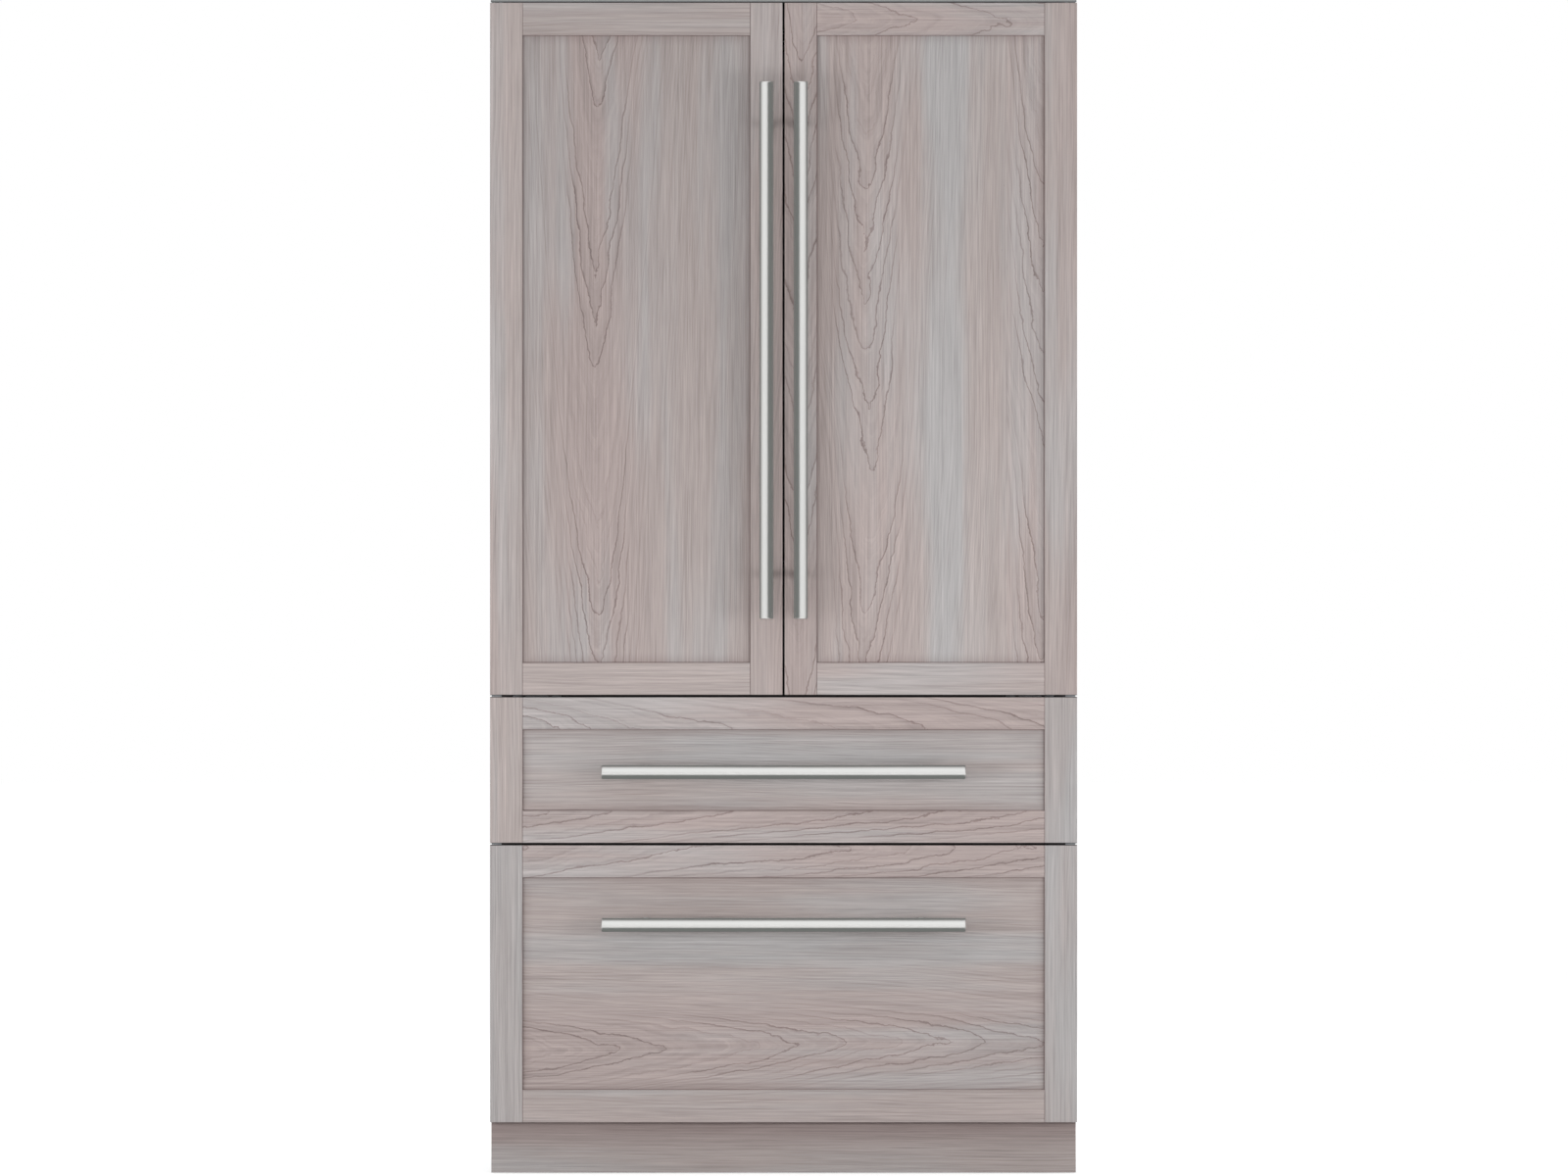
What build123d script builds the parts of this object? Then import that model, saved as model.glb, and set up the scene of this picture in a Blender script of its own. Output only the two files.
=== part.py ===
from build123d import *
from collections import namedtuple
from math import hypot
import os

os.makedirs("parts", exist_ok=True)

# A built-in refrigerator with two doors over two drawers, all closed.
# Millimetres, +Z up. The front faces -Y. The origin is on the floor, under the middle of the unit.

# Overall sizes
unit_width = 1066.8
unit_height = 2133.6
case_depth = 548.0
case_side_inset = 1.0

# Heights of the fronts, from the floor up
toe_kick_top = 91.0
front_gap = 3.0
lower_front_height = 504.0
upper_front_height = 266.0
top_reveal = 5.2

# Wooden fronts
front_thickness = 19.0
member_width = 59.0
panel_recess = 6.0
panel_web = 7.0
groove_depth = 8.0
panel_float = 1.0
joint_fit = 0.1
edge_round = 0.8

# Bar handles
bar_diameter = 25.0
bar_reach = 60.0
bar_end_round = 2.5
post_diameter = 14.0
post_inset = 80.0
post_flange_diameter = 24.0
post_flange_thickness = 3.0
stud_diameter = 6.0
stud_length = 10.0
stud_clearance = 0.3
door_handle_length = 974.0
door_handle_height = 138.8
drawer_handle_length = 660.0
upper_handle_drop = 135.8
lower_handle_drop = 143.6

# Steel pans and insulated liners behind the wood
body_depth = 52.0
body_side_inset = 4.0
hinge_room = 20.0
pan_sheet = 1.0
pan_corner = 5.0
foam_fit = 0.2
seal_gap = 9.5
gasket_edge = 2.0
gasket_width = 20.0
gasket_neck = 8.0
gasket_neck_depth = 4.0
gasket_clearance = 0.3
gasket_corner = 6.0
seat_land = 4.0

# Hinges
pivot_inset = 26.0
pivot_setback = 31.0
pin_diameter = 12.0
pin_fit = 0.05
pin_engagement = 20.0
pin_end_room = 1.0
cup_wall = 5.0
pin_collar_diameter = 18.0
pin_collar_gap = 0.3
top_collar_height = 4.0
bracket_plate = 6.0
bracket_nose = 10.0
bracket_gap = 6.0
bracket_tab = 4.5
bracket_tab_height = 20.0
bracket_inner_reach = 14.0
bracket_width = 88.0
bracket_screw = 5.5
bracket_screw_spacing = 48.0
bracket_screw_edge = 7.0

# Case
side_sheet = 1.2
top_sheet = 1.2
rear_sheet = 1.2
front_return = 18.0
rear_return = 20.0
top_hem = 3.8
top_hem_setback = 4.0
side_wall = 54.0
rear_wall = 62.0
liner_sheet = 2.0
liner_corner = 16.0
frame_sheet = 2.0
board_joint = 0.2
base_bottom = 28.0
base_top = 92.0
side_screw = 5.0
side_screw_setback = 40.0
side_screw_spacing = 480.0
side_screw_count = 4
anti_tip_hole = 6.5
anti_tip_spacing = 400.0
anti_tip_setback = 30.0
louvre_width = 250.0
louvre_height = 6.0
louvre_pitch = 20.0
louvre_columns = 3
louvre_rows = 8
louvre_column_pitch = 310.0

# Machine compartment behind the freezer
machine_depth = 225.0
machine_top = 285.0
step_wall = 45.0
compressor_radius = 72.0
compressor_height = 178.0
compressor_seam = 4.0
compressor_crown = 34.0
compressor_plate = 3.0
compressor_from_side = 244.0
grommet_diameter = 24.0
grommet_height = 12.0
grommet_spacing_x = 150.0
grommet_spacing_y = 120.0
terminal_width = 50.0
terminal_depth = 26.0
terminal_height = 44.0
terminal_rise = 4.0
stub_diameter = 10.0
stub_length = 26.0
condenser_width = 330.0
condenser_height = 190.0
condenser_depth = 150.0
condenser_from_side = 165.0
fin_pitch = 11.0
fin_thickness = 3.0
fin_web = 24.0
tray_wall = 3.0
tray_height = 32.0
tray_margin = 8.0
fan_radius = 62.0
fan_tip_gap = 4.0
fan_ring_depth = 34.0
fan_hub_radius = 19.0
fan_hub_length = 20.0
fan_blade_count = 5
fan_blade_chord = 38.0
fan_blade_thickness = 2.0
fan_root_pitch = 50.0
fan_tip_pitch = 28.0
fan_shaft = 6.0
fan_shaft_fit = 0.05
fan_motor_radius = 24.0
fan_motor_length = 26.0
fan_end_gap = 0.4
spider_width = 8.0
spider_count = 3
inlet_diameter = 22.0
inlet_flange = 32.0
inlet_flange_thickness = 4.0
inlet_length = 24.0
inlet_bore = 9.0
inlet_from_side = 82.0
inlet_height = 240.0
inlet_fit = 0.3

# Door rims and bins
rim_hinge_inset = 71.0
rim_free_inset = 40.5
rim_end_gap = 12.0
rim_width = 28.0
rim_depth = 72.0
rim_draft = 2.0
rim_corner = 14.0
bin_reach = 95.0
bin_fit = 1.5
bin_wall = 2.5
bin_corner = 22.0
bin_height = 104.0
bin_rim = 2.0
bin_rim_height = 8.0
bin_ledge = 6.0
bin_levels = (40.0, 400.0, 760.0)

# Flip mullion on the left door's free edge
flap_width = 60.0
flap_thickness = 22.0
flap_chamfer = 4.0
flap_axis_from_centre = 26.5
flap_axis_from_face = 9.0
flap_seal_gap = 0.8
flap_knuckle = 7.0
flap_knuckle_height = 10.0
flap_knuckle_gap = 1.0
flap_pin_diameter = 6.0
guide_pin_diameter = 8.0
guide_pin_radius = 30.0
guide_height = 17.0
guide_roof = 5.0
guide_gap = 5.0
guide_groove = 11.0
guide_width = 70.0
guide_depth = 53.0
guide_left = -45.0
guide_setback = 3.0
guide_corner = 4.0

# Telescopic slides
slide_height = 46.0
slide_depth = 13.0
slide_sheet = 2.0
slide_clearance = 0.4
slide_rear_gap = 76.0
slide_setback = 8.0
upper_slide_level = 60.0
lower_slide_level = 300.0

# Tubs in the drawers
tub_wall = 3.0
tub_corner = 20.0
tub_floor_gap = 8.0
tub_top_gap = 40.0
upper_tub_rear_gap = 75.5
lower_tub_rear_gap = 17.5
lower_tub_height = 330.0
tub_rim = 2.5
tub_rim_height = 8.0

# Inside the fresh food space
duct_width = 220.0
duct_depth = 30.0
ladder_width = 18.0
ladder_depth = 10.0
ladder_slot = 5.0
ladder_slot_height = 14.0
ladder_pitch = 60.0
ladder_bottom = 230.0
ladder_top = 60.0
arm_thickness = 3.0
arm_rear_height = 42.0
arm_front_height = 14.0
arm_front_setback = 14.0
arm_inset = 40.0
glass_thickness = 5.0
glass_corner = 8.0
shelf_front_gap = 33.0
shelf_rear_gap = 6.0
shelf_gap = 10.0
lowest_left_slot = 3
lowest_right_slot = 4
left_slots_above = 3
right_slots_above = 5
crisper_height = 190.0
crisper_cover_gap = 6.0
crisper_wall = 2.5
crisper_corner = 12.0
crisper_floor_gap = 0.3
cover_ledge = 8.0

# Ceiling unit
evaporator_width = 700.0
evaporator_depth = 48.0
evaporator_height = 78.0
cover_sheet = 3.0
cover_rear_room = 70.0
cover_slot_length = 120.0
cover_slot_height = 6.0
cover_slot_pitch = 22.0
cover_slot_rows = 4
cover_slot_offset = 250.0
duct_slot_length = 60.0
duct_slot_height = 8.0
duct_slot_pitch_x = 90.0
duct_slot_pitch_z = 110.0
duct_slot_rows = 8
duct_round = 12.0
crisper_pull_depth = 14.0
crisper_pull_height = 26.0
crisper_rear_gap = 26.0
ceiling_unit_width = 420.0
ceiling_unit_depth = 120.0
ceiling_unit_height = 26.0
ceiling_unit_front = 110.0
ceiling_unit_round = 3.0
lens_width = 300.0
lens_depth = 50.0
lens_height = 3.0
lens_corner = 8.0
lens_fit = 0.3
lens_draft = 16.0

# Base, feet and rollers
toe_kick_thickness = 16.0
toe_kick_recess = 22.0
toe_kick_end_gap = 1.8
toe_kick_floor_gap = 1.5
base_sheet = 2.0
base_side_gap = 0.3
base_slot_width = 250.0
base_slot_height = 8.0
base_slot_pitch_x = 310.0
base_slot_pitch_z = 22.0
base_slot_columns = 3
kick_arm_from_centre = 310.0
kick_arm_width = 45.0
kick_arm_height = 44.0
foot_pad_diameter = 45.0
foot_pad_height = 8.0
foot_pad_draft = 19.0
foot_stem_diameter = 12.0
foot_stem_clearance = 0.3
foot_nut_width = 19.0
foot_nut_height = 10.0
foot_side_inset = 60.0
foot_end_inset = 40.0
roller_diameter = 52.0
roller_width = 22.0
roller_axle = 8.0
roller_fit = 0.05
roller_floor_gap = 2.5
roller_side_inset = 130.0
roller_end_inset = 75.0
roller_cheek = 3.0
roller_cheek_radius = 8.0
roller_side_gap = 0.5
roller_end_gap = 3.0

# Levels and planes that follow from the sizes above
half_width = unit_width / 2
case_half = half_width - case_side_inset
liner_half = case_half - side_wall
total_depth = bar_reach + bar_diameter / 2 + front_thickness + body_depth + seal_gap + case_depth
bar_y = -total_depth / 2 + bar_diameter / 2
front_y = bar_y + bar_reach
body_y = front_y + front_thickness
body_back_y = body_y + body_depth
case_y = body_back_y + seal_gap
rear_y = case_y + case_depth
cavity_y = case_y + frame_sheet
cavity_back_y = rear_y - rear_wall
inner_rear_y = rear_y - rear_sheet
machine_y = rear_y - machine_depth
step_y = machine_y - step_wall
step_z = machine_top + step_wall

lower_bottom = toe_kick_top + front_gap
lower_top = lower_bottom + lower_front_height
upper_bottom = lower_top + front_gap
upper_top = upper_bottom + upper_front_height
door_bottom = upper_top + front_gap
door_top = unit_height - top_reveal

drawer_band = body_side_inset + gasket_edge + gasket_width + seat_land
door_band = hinge_room + gasket_edge + gasket_width + seat_land
lower_floor = lower_bottom + drawer_band
lower_ceiling = lower_top - drawer_band
upper_floor = upper_bottom + drawer_band
upper_ceiling = upper_top - drawer_band
fresh_floor = door_bottom + door_band
fresh_ceiling = door_top - door_band
top_inner = unit_height - top_sheet

pivot_x = half_width - pivot_inset
pivot_y = front_y + pivot_setback

Area = namedtuple("Area", "left right bottom top")

left_front = Area(-half_width, -front_gap / 2, door_bottom, door_top)
right_front = Area(front_gap / 2, half_width, door_bottom, door_top)
upper_front = Area(-half_width, half_width, upper_bottom, upper_top)
lower_front = Area(-half_width, half_width, lower_bottom, lower_top)


def inset(area, sides, ends):
    """The area drawn in by one size at its sides and another at its ends."""
    return Area(area.left + sides, area.right - sides, area.bottom + ends, area.top - ends)


def at_y(y):
    """A sketch plane at depth y that faces the front, with X across it and Z up it."""
    return Plane.XZ.offset(-y)


def rect(left, right, bottom, top, mode=Mode.ADD):
    """A rectangle in the open sketch between two lines each way."""
    with Locations(((left + right) / 2, (bottom + top) / 2)):
        Rectangle(right - left, top - bottom, mode=mode)


def block(x0, x1, y0, y1, z0, z1, mode=Mode.ADD):
    """A box in the open part between two planes each way."""
    with Locations(((x0 + x1) / 2, (y0 + y1) / 2, (z0 + z1) / 2)):
        Box(x1 - x0, y1 - y0, z1 - z0, mode=mode)


def keep(piece, name):
    """Label a finished piece and write it under its own name."""
    piece.part.label = name
    export_step(piece.part, f"parts/{name}.step")


# Wooden fronts and bar handles


def post_points(ends):
    """Where a bar's two posts stand, as X and Z, at one distance from each of its ends."""
    (x0, z0), (x1, z1) = ends
    share = post_inset / hypot(x1 - x0, z1 - z0)
    near = (x0 + (x1 - x0) * share, z0 + (z1 - z0) * share)
    far = (x1 - (x1 - x0) * share, z1 - (z1 - z0) * share)
    return near, far


def make_wood_front(name, area, studs, studs_in_frame):
    """A frame of two stiles and two tenoned rails, grooved for a floating centre panel."""
    inner = inset(area, member_width, member_width)
    web_y = front_y + panel_recess
    stud_hole = stud_diameter / 2 + stud_clearance

    with BuildPart() as frame:
        with BuildSketch(at_y(front_y)):
            rect(area.left, inner.left, area.bottom, area.top)
            rect(inner.right, area.right, area.bottom, area.top)
            rect(inner.left + joint_fit, inner.right - joint_fit, area.bottom, inner.bottom)
            rect(inner.left + joint_fit, inner.right - joint_fit, inner.top, area.top)
        extrude(amount=-front_thickness)
        fillet(frame.faces().group_by(Axis.Y)[0].edges(), radius=edge_round)
        # Grooves: the full length of the stiles, and the inner edges of the rails
        with BuildSketch(at_y(web_y - joint_fit)):
            rect(inner.left - groove_depth, inner.left, area.bottom, area.top)
            rect(inner.right, inner.right + groove_depth, area.bottom, area.top)
            rect(inner.left, inner.right, inner.bottom - groove_depth, inner.bottom)
            rect(inner.left, inner.right, inner.top, inner.top + groove_depth)
        extrude(amount=-(panel_web + 2 * joint_fit), mode=Mode.SUBTRACT)
        # Stub tenons on the rails, in the ends of the stiles' grooves
        tenon = groove_depth - panel_float
        with BuildSketch(at_y(web_y)):
            for low, high in (
                (area.bottom, inner.bottom - groove_depth),
                (inner.top + groove_depth, area.top),
            ):
                rect(inner.left - tenon, inner.left + tenon, low, high)
                rect(inner.right - tenon, inner.right + tenon, low, high)
        extrude(amount=-panel_web)
        if studs_in_frame:
            with BuildSketch(at_y(front_y)):
                with Locations(*studs):
                    Circle(stud_hole)
            extrude(amount=-front_thickness, mode=Mode.SUBTRACT)
    keep(frame, f"{name}_frame")

    tongue = panel_float - groove_depth
    with BuildPart() as panel:
        with BuildSketch(at_y(web_y)):
            rect(*inset(inner, tongue, tongue))
            if not studs_in_frame:
                with Locations(*studs):
                    Circle(stud_hole, mode=Mode.SUBTRACT)
        extrude(amount=-panel_web)
    keep(panel, f"{name}_panel")


def make_handle(name, ends, seat_y):
    """A round bar between two end points, seated on two flanged posts that stand on seat_y."""
    (x0, z0), (x1, z1) = ends
    posts = post_points(ends)
    bar_plane = Plane(origin=(x0, bar_y, z0), z_dir=(x1 - x0, 0, z1 - z0))
    bar_length = hypot(x1 - x0, z1 - z0)
    with BuildPart() as handle:
        with BuildSketch(at_y(bar_y)):
            with Locations(*posts):
                Circle(post_diameter / 2)
        extrude(amount=bar_y - seat_y)
        with BuildSketch(at_y(seat_y)):
            with Locations(*posts):
                Circle(post_flange_diameter / 2)
        extrude(amount=post_flange_thickness)
        with BuildSketch(at_y(seat_y)):
            with Locations(*posts):
                Circle(stud_diameter / 2)
        extrude(amount=-stud_length)
        # Each post ends in a saddle that fits round the bar
        with BuildSketch(bar_plane):
            Circle(bar_diameter / 2 + joint_fit)
        extrude(amount=bar_length, mode=Mode.SUBTRACT)
        with BuildSketch(bar_plane):
            Circle(bar_diameter / 2)
        extrude(amount=bar_length)
        fillet(handle.edges(Select.LAST).filter_by(GeomType.CIRCLE), radius=bar_end_round)
    keep(handle, f"{name}_handle")


door_bar_bottom = door_bottom + door_handle_height
door_bar_top = door_bar_bottom + door_handle_length
drawer_bar_half = drawer_handle_length / 2
stile_centre = (front_gap + member_width) / 2

for name, side, area in (("left_door", -1, left_front), ("right_door", 1, right_front)):
    bar_ends = ((side * stile_centre, door_bar_bottom), (side * stile_centre, door_bar_top))
    make_wood_front(name, area, post_points(bar_ends), studs_in_frame=True)
    make_handle(name, bar_ends, front_y)

drawer_bars = (
    ("upper_drawer", upper_front, upper_handle_drop),
    ("lower_drawer", lower_front, lower_handle_drop),
)
for name, area, handle_drop in drawer_bars:
    bar_z = area.top - handle_drop
    bar_ends = ((-drawer_bar_half, bar_z), (drawer_bar_half, bar_z))
    make_wood_front(name, area, post_points(bar_ends), studs_in_frame=False)
    make_handle(name, bar_ends, front_y + panel_recess)


# Steel pans, insulated liners and gaskets of the doors and drawers


def make_pan(name, body, hinge_x=None):
    """A steel tray open at its back, with a bored cup at each end where a hinge pin runs."""
    cup_radius = pin_diameter / 2 + cup_wall
    cup_length = pin_engagement + pin_end_room + cup_wall
    with BuildPart() as pan:
        with BuildSketch(at_y(body_y)):
            rect(*body)
        extrude(amount=-body_depth)
        fillet(pan.edges().filter_by(Axis.Y), radius=pan_corner)
        offset(amount=-pan_sheet, openings=pan.faces().sort_by(Axis.Y)[-1])
        if hinge_x is not None:
            for z, way in ((body.bottom, 1), (body.top, -1)):
                with BuildSketch(Plane.XY.offset(z)):
                    with Locations((hinge_x, pivot_y)):
                        Circle(cup_radius)
                extrude(amount=way * cup_length)
                with BuildSketch(Plane.XY.offset(z)):
                    with Locations((hinge_x, pivot_y)):
                        Circle(pin_diameter / 2 + pin_fit)
                extrude(amount=way * (pin_engagement + pin_end_room), mode=Mode.SUBTRACT)
    keep(pan, f"{name}_pan")


def make_gasket(name, ring):
    """A magnetic gasket: a narrow neck on the liner and a wide face towards the case."""
    face_depth = seal_gap - gasket_clearance - gasket_neck_depth
    neck_inset = (gasket_width - gasket_neck) / 2
    with BuildPart() as gasket:
        for y, depth, outer, width in (
            (body_back_y, gasket_neck_depth, neck_inset, gasket_neck),
            (body_back_y + gasket_neck_depth, face_depth, 0, gasket_width),
        ):
            with BuildSketch(at_y(y)) as outline:
                rect(*inset(ring, outer, outer))
                fillet(outline.vertices(), radius=gasket_corner)
                rect(*inset(ring, outer + width, outer + width), mode=Mode.SUBTRACT)
            extrude(amount=-depth)
    keep(gasket, f"{name}_gasket")


def make_liner(name, body, hinge_x=None, rim=None, knuckles=()):
    """The insulated core that fills a pan. A door's has a raised rim that carries its bins."""
    core = inset(body, pan_sheet + foam_fit, pan_sheet + foam_fit)
    core_y = body_y + pan_sheet + foam_fit
    with BuildPart() as liner:
        with BuildSketch(at_y(core_y)):
            rect(*core)
        extrude(amount=core_y - body_back_y)
        fillet(liner.edges().filter_by(Axis.Y), radius=pan_corner)
        if hinge_x is not None:
            pocket = pin_diameter / 2 + cup_wall + foam_fit
            cup_length = pin_engagement + pin_end_room + cup_wall + foam_fit
            for z, way in ((body.bottom, 1), (body.top, -1)):
                with BuildSketch(Plane.XY.offset(z)):
                    with Locations((hinge_x, pivot_y)):
                        Circle(pocket)
                extrude(amount=way * cup_length, mode=Mode.SUBTRACT)
        if rim is not None:
            inner = inset(rim, rim_width, rim_width)
            with BuildSketch(at_y(body_back_y)) as outline:
                rect(*rim)
                fillet(outline.vertices(), radius=rim_corner)
            extrude(amount=-rim_depth, taper=rim_draft)
            with BuildSketch(at_y(body_back_y)) as hollow:
                rect(*inner)
                fillet(hollow.vertices(), radius=rim_corner)
            extrude(amount=-rim_depth, taper=-rim_draft, mode=Mode.SUBTRACT)
            # Ledges on the rim's inner sides, one pair under each bin
            for level in bin_levels:
                z = rim.bottom + level
                for near, far in (
                    (inner.left - bin_ledge, inner.left + bin_ledge),
                    (inner.right - bin_ledge, inner.right + bin_ledge),
                ):
                    block(near, far, body_back_y, body_back_y + rim_depth, z - bin_ledge, z)
        # Knuckles beside the rim that carry the flip mullion
        for low in knuckles:
            near_y = flap_axis_y - flap_knuckle
            far_y = flap_axis_y + flap_knuckle
            with BuildSketch(Plane.XY.offset(low)):
                rect(rim.right - rim_width / 2, flap_axis_x, near_y, far_y)
                with Locations((flap_axis_x, flap_axis_y)):
                    Circle(flap_knuckle)
                    Circle(flap_pin_diameter / 2 + pin_fit, mode=Mode.SUBTRACT)
            extrude(amount=flap_knuckle_height)
    keep(liner, f"{name}_liner")


def make_trays(name, trays, wall, corner, rim, rim_height):
    """Open trays, each between two planes each way, with rounded inner corners and a rim."""
    with BuildPart() as group:
        for x0, x1, y0, y1, z0, z1 in trays:
            with BuildSketch(Plane.XY.offset(z0)) as outline:
                rect(x0 + rim, x1 - rim, y0, y1 - rim)
                fillet(outline.vertices(), radius=corner)
            extrude(amount=z1 - z0)
            with BuildSketch(Plane.XY.offset(z1 - rim_height)) as lip:
                rect(x0, x1, y0, y1)
                fillet(lip.vertices(), radius=corner)
            extrude(amount=rim_height)
            with BuildSketch(Plane.XY.offset(z0 + wall)) as hollow:
                rect(x0 + rim + wall, x1 - rim - wall, y0 + wall, y1 - rim - wall)
                fillet(hollow.vertices(), radius=corner - wall)
            extrude(amount=z1 - z0, mode=Mode.SUBTRACT)
    keep(group, name)


# The flip mullion's axis, ends and ceiling guide are shared by the left liner and the flap
seal_y = case_y - gasket_clearance
flap_axis_x = -flap_axis_from_centre
flap_axis_y = seal_y + flap_seal_gap + flap_axis_from_face
guide_bottom = fresh_ceiling - guide_height
flap_top = guide_bottom - guide_gap
flap_bottom = fresh_floor + rim_end_gap
knuckle_levels = (flap_bottom + flap_knuckle_gap, flap_top - flap_knuckle_gap - flap_knuckle_height)

for name, side, area in (("left_door", -1, left_front), ("right_door", 1, right_front)):
    body = inset(area, body_side_inset, hinge_room)
    make_pan(name, body, hinge_x=side * pivot_x)

    # The gasket's outer edge lies inward of the pivot, so that no part of it swings backwards
    hinge_edge = pivot_x - gasket_edge
    free_edge = front_gap / 2 + body_side_inset + gasket_edge
    edges = sorted((side * free_edge, side * hinge_edge))
    make_gasket(name, Area(*edges, body.bottom + gasket_edge, body.top - gasket_edge))

    rim_edges = sorted((side * (front_gap / 2 + rim_free_inset), side * (half_width - rim_hinge_inset)))
    rim = Area(*rim_edges, flap_bottom, flap_top)
    make_liner(name, body, side * pivot_x, rim, knuckle_levels if side < 0 else ())

    bin_area = inset(rim, rim_width + bin_fit, 0)
    bin_trays = []
    for level in bin_levels:
        z = rim.bottom + level
        y = body_back_y + bin_fit
        bin_trays.append((bin_area.left, bin_area.right, y, y + bin_reach, z, z + bin_height))
    make_trays(f"{name}_bins", bin_trays, bin_wall, bin_corner, bin_rim, bin_rim_height)

for name, area in (("upper_drawer", upper_front), ("lower_drawer", lower_front)):
    body = inset(area, body_side_inset, body_side_inset)
    make_pan(name, body)
    make_liner(name, body)
    drawer_gasket_half = pivot_x - gasket_edge
    ends = (body.bottom + gasket_edge, body.top - gasket_edge)
    make_gasket(name, Area(-drawer_gasket_half, drawer_gasket_half, *ends))


# Flip mullion, folded back beside the left door's rim


def flap_x(behind):
    """X of a face of the folded flap, from its distance behind the axis when sealed."""
    return flap_axis_x - behind


def flap_y(beside):
    """Y of an edge of the folded flap, from its distance beside the axis when sealed."""
    return flap_axis_y + beside


flap_hinge_side = flap_width / 2 - flap_axis_from_centre
flap_back = flap_thickness - flap_axis_from_face
flap_faces = (flap_x(flap_back), flap_x(-flap_axis_from_face))
flap_edges = (flap_y(-flap_hinge_side), flap_y(flap_width - flap_hinge_side))
guide_pin_x = sum(flap_faces) / 2
guide_pin_y = flap_y(guide_pin_radius)
guide_pin_top = fresh_ceiling - guide_roof - flap_knuckle_gap
notch_height = flap_knuckle_height + 2 * flap_knuckle_gap
notch_edge = flap_y(flap_knuckle + 2 * flap_knuckle_gap)

with BuildPart() as mullion_flap:
    with BuildSketch(Plane.XY.offset(flap_bottom)) as section:
        rect(*flap_faces, *flap_edges)
        chamfer(section.vertices().group_by(Axis.X)[0], length=flap_chamfer)
    extrude(amount=flap_top - flap_bottom)
    # Notches at both ends clear the knuckles, and pins turn in them
    for z, way in ((flap_bottom, 1), (flap_top, -1)):
        with BuildSketch(Plane.XY.offset(z)):
            rect(*flap_faces, flap_edges[0], notch_edge)
        extrude(amount=way * notch_height, mode=Mode.SUBTRACT)
        with BuildSketch(Plane.XY.offset(z + way * notch_height)):
            with Locations((flap_axis_x, flap_axis_y)):
                Circle(flap_pin_diameter / 2)
        extrude(amount=-way * (flap_knuckle_gap + flap_knuckle_height))
    # The pin that runs in the ceiling guide
    with BuildSketch(Plane.XY.offset(flap_top)):
        with Locations((guide_pin_x, guide_pin_y)):
            Circle(guide_pin_diameter / 2)
    extrude(amount=guide_pin_top - flap_top)
keep(mullion_flap, "mullion_flap")

guide_front = cavity_y + guide_setback
guide_radius = hypot(guide_pin_x - flap_axis_x, guide_pin_y - flap_axis_y)
swing_radius = hypot(guide_pin_x + pivot_x, guide_pin_y - pivot_y)
half_groove = guide_groove / 2
groove_height = guide_height - guide_roof

with BuildPart() as mullion_guide:
    with BuildSketch(Plane.XY.offset(guide_bottom)) as plan:
        rect(guide_left, guide_left + guide_width, guide_front, guide_front + guide_depth)
        fillet(plan.vertices(), radius=guide_corner)
    extrude(amount=guide_height)
    # The curve in which the pin turns the flap
    with BuildSketch(Plane.XY.offset(guide_bottom)):
        with Locations((flap_axis_x, flap_axis_y)):
            Circle(guide_radius + half_groove)
            Circle(guide_radius - half_groove, mode=Mode.SUBTRACT)
        rect(
            guide_pin_x - half_groove,
            guide_left + guide_width,
            guide_front,
            guide_front + guide_depth,
            mode=Mode.INTERSECT,
        )
    extrude(amount=groove_height, mode=Mode.SUBTRACT)
    # The mouth through which the pin comes and goes with the door
    with BuildSketch(Plane.XY.offset(guide_bottom)):
        with Locations((-pivot_x, pivot_y)):
            Circle(swing_radius + half_groove)
            Circle(swing_radius - half_groove, mode=Mode.SUBTRACT)
        rect(guide_left, guide_left + guide_width, guide_front, guide_pin_y, mode=Mode.INTERSECT)
    extrude(amount=groove_height, mode=Mode.SUBTRACT)
keep(mullion_guide, "mullion_guide")


# Telescopic slides: three nested channels on each side of each drawer

outer_web = liner_half
outer_lip = liner_half - slide_depth
middle_web = outer_web - slide_sheet - slide_clearance
inner_web = outer_lip - slide_sheet
inner_lip = middle_web - slide_sheet - slide_clearance
outer_half = slide_height / 2
middle_half = outer_half - slide_sheet - slide_clearance
inner_half = middle_half - slide_sheet - slide_clearance
slide_front = cavity_y + slide_setback
slide_length = cavity_back_y - slide_rear_gap - slide_front
upper_slide_z = upper_floor + upper_slide_level
lower_slide_z = lower_floor + lower_slide_level


def span(side, near, far):
    """Two distances from the middle plane, on one side of it, as a low and a high X."""
    return sorted((side * near, side * far))


def make_slides(name, levels, web, lip, half_height):
    """Pairs of channels, each with its web at one distance out and its lips at another."""
    web_inside = web + slide_sheet * (1 if lip > web else -1)
    with BuildPart() as slides:
        with BuildSketch(at_y(slide_front)):
            for level in levels:
                for side in (-1, 1):
                    rect(*span(side, web, lip), level - half_height, level + half_height)
                    rect(
                        *span(side, web_inside, lip),
                        level - half_height + slide_sheet,
                        level + half_height - slide_sheet,
                        mode=Mode.SUBTRACT,
                    )
        extrude(amount=-slide_length)
    keep(slides, name)


make_slides("slide_rails", (upper_slide_z, lower_slide_z), outer_web, outer_lip, outer_half)
for name, level in (("upper", upper_slide_z), ("lower", lower_slide_z)):
    make_slides(f"{name}_slide_middles", (level,), middle_web, outer_lip, middle_half)
    make_slides(f"{name}_drawer_runners", (level,), inner_web, inner_lip, inner_half)

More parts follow.
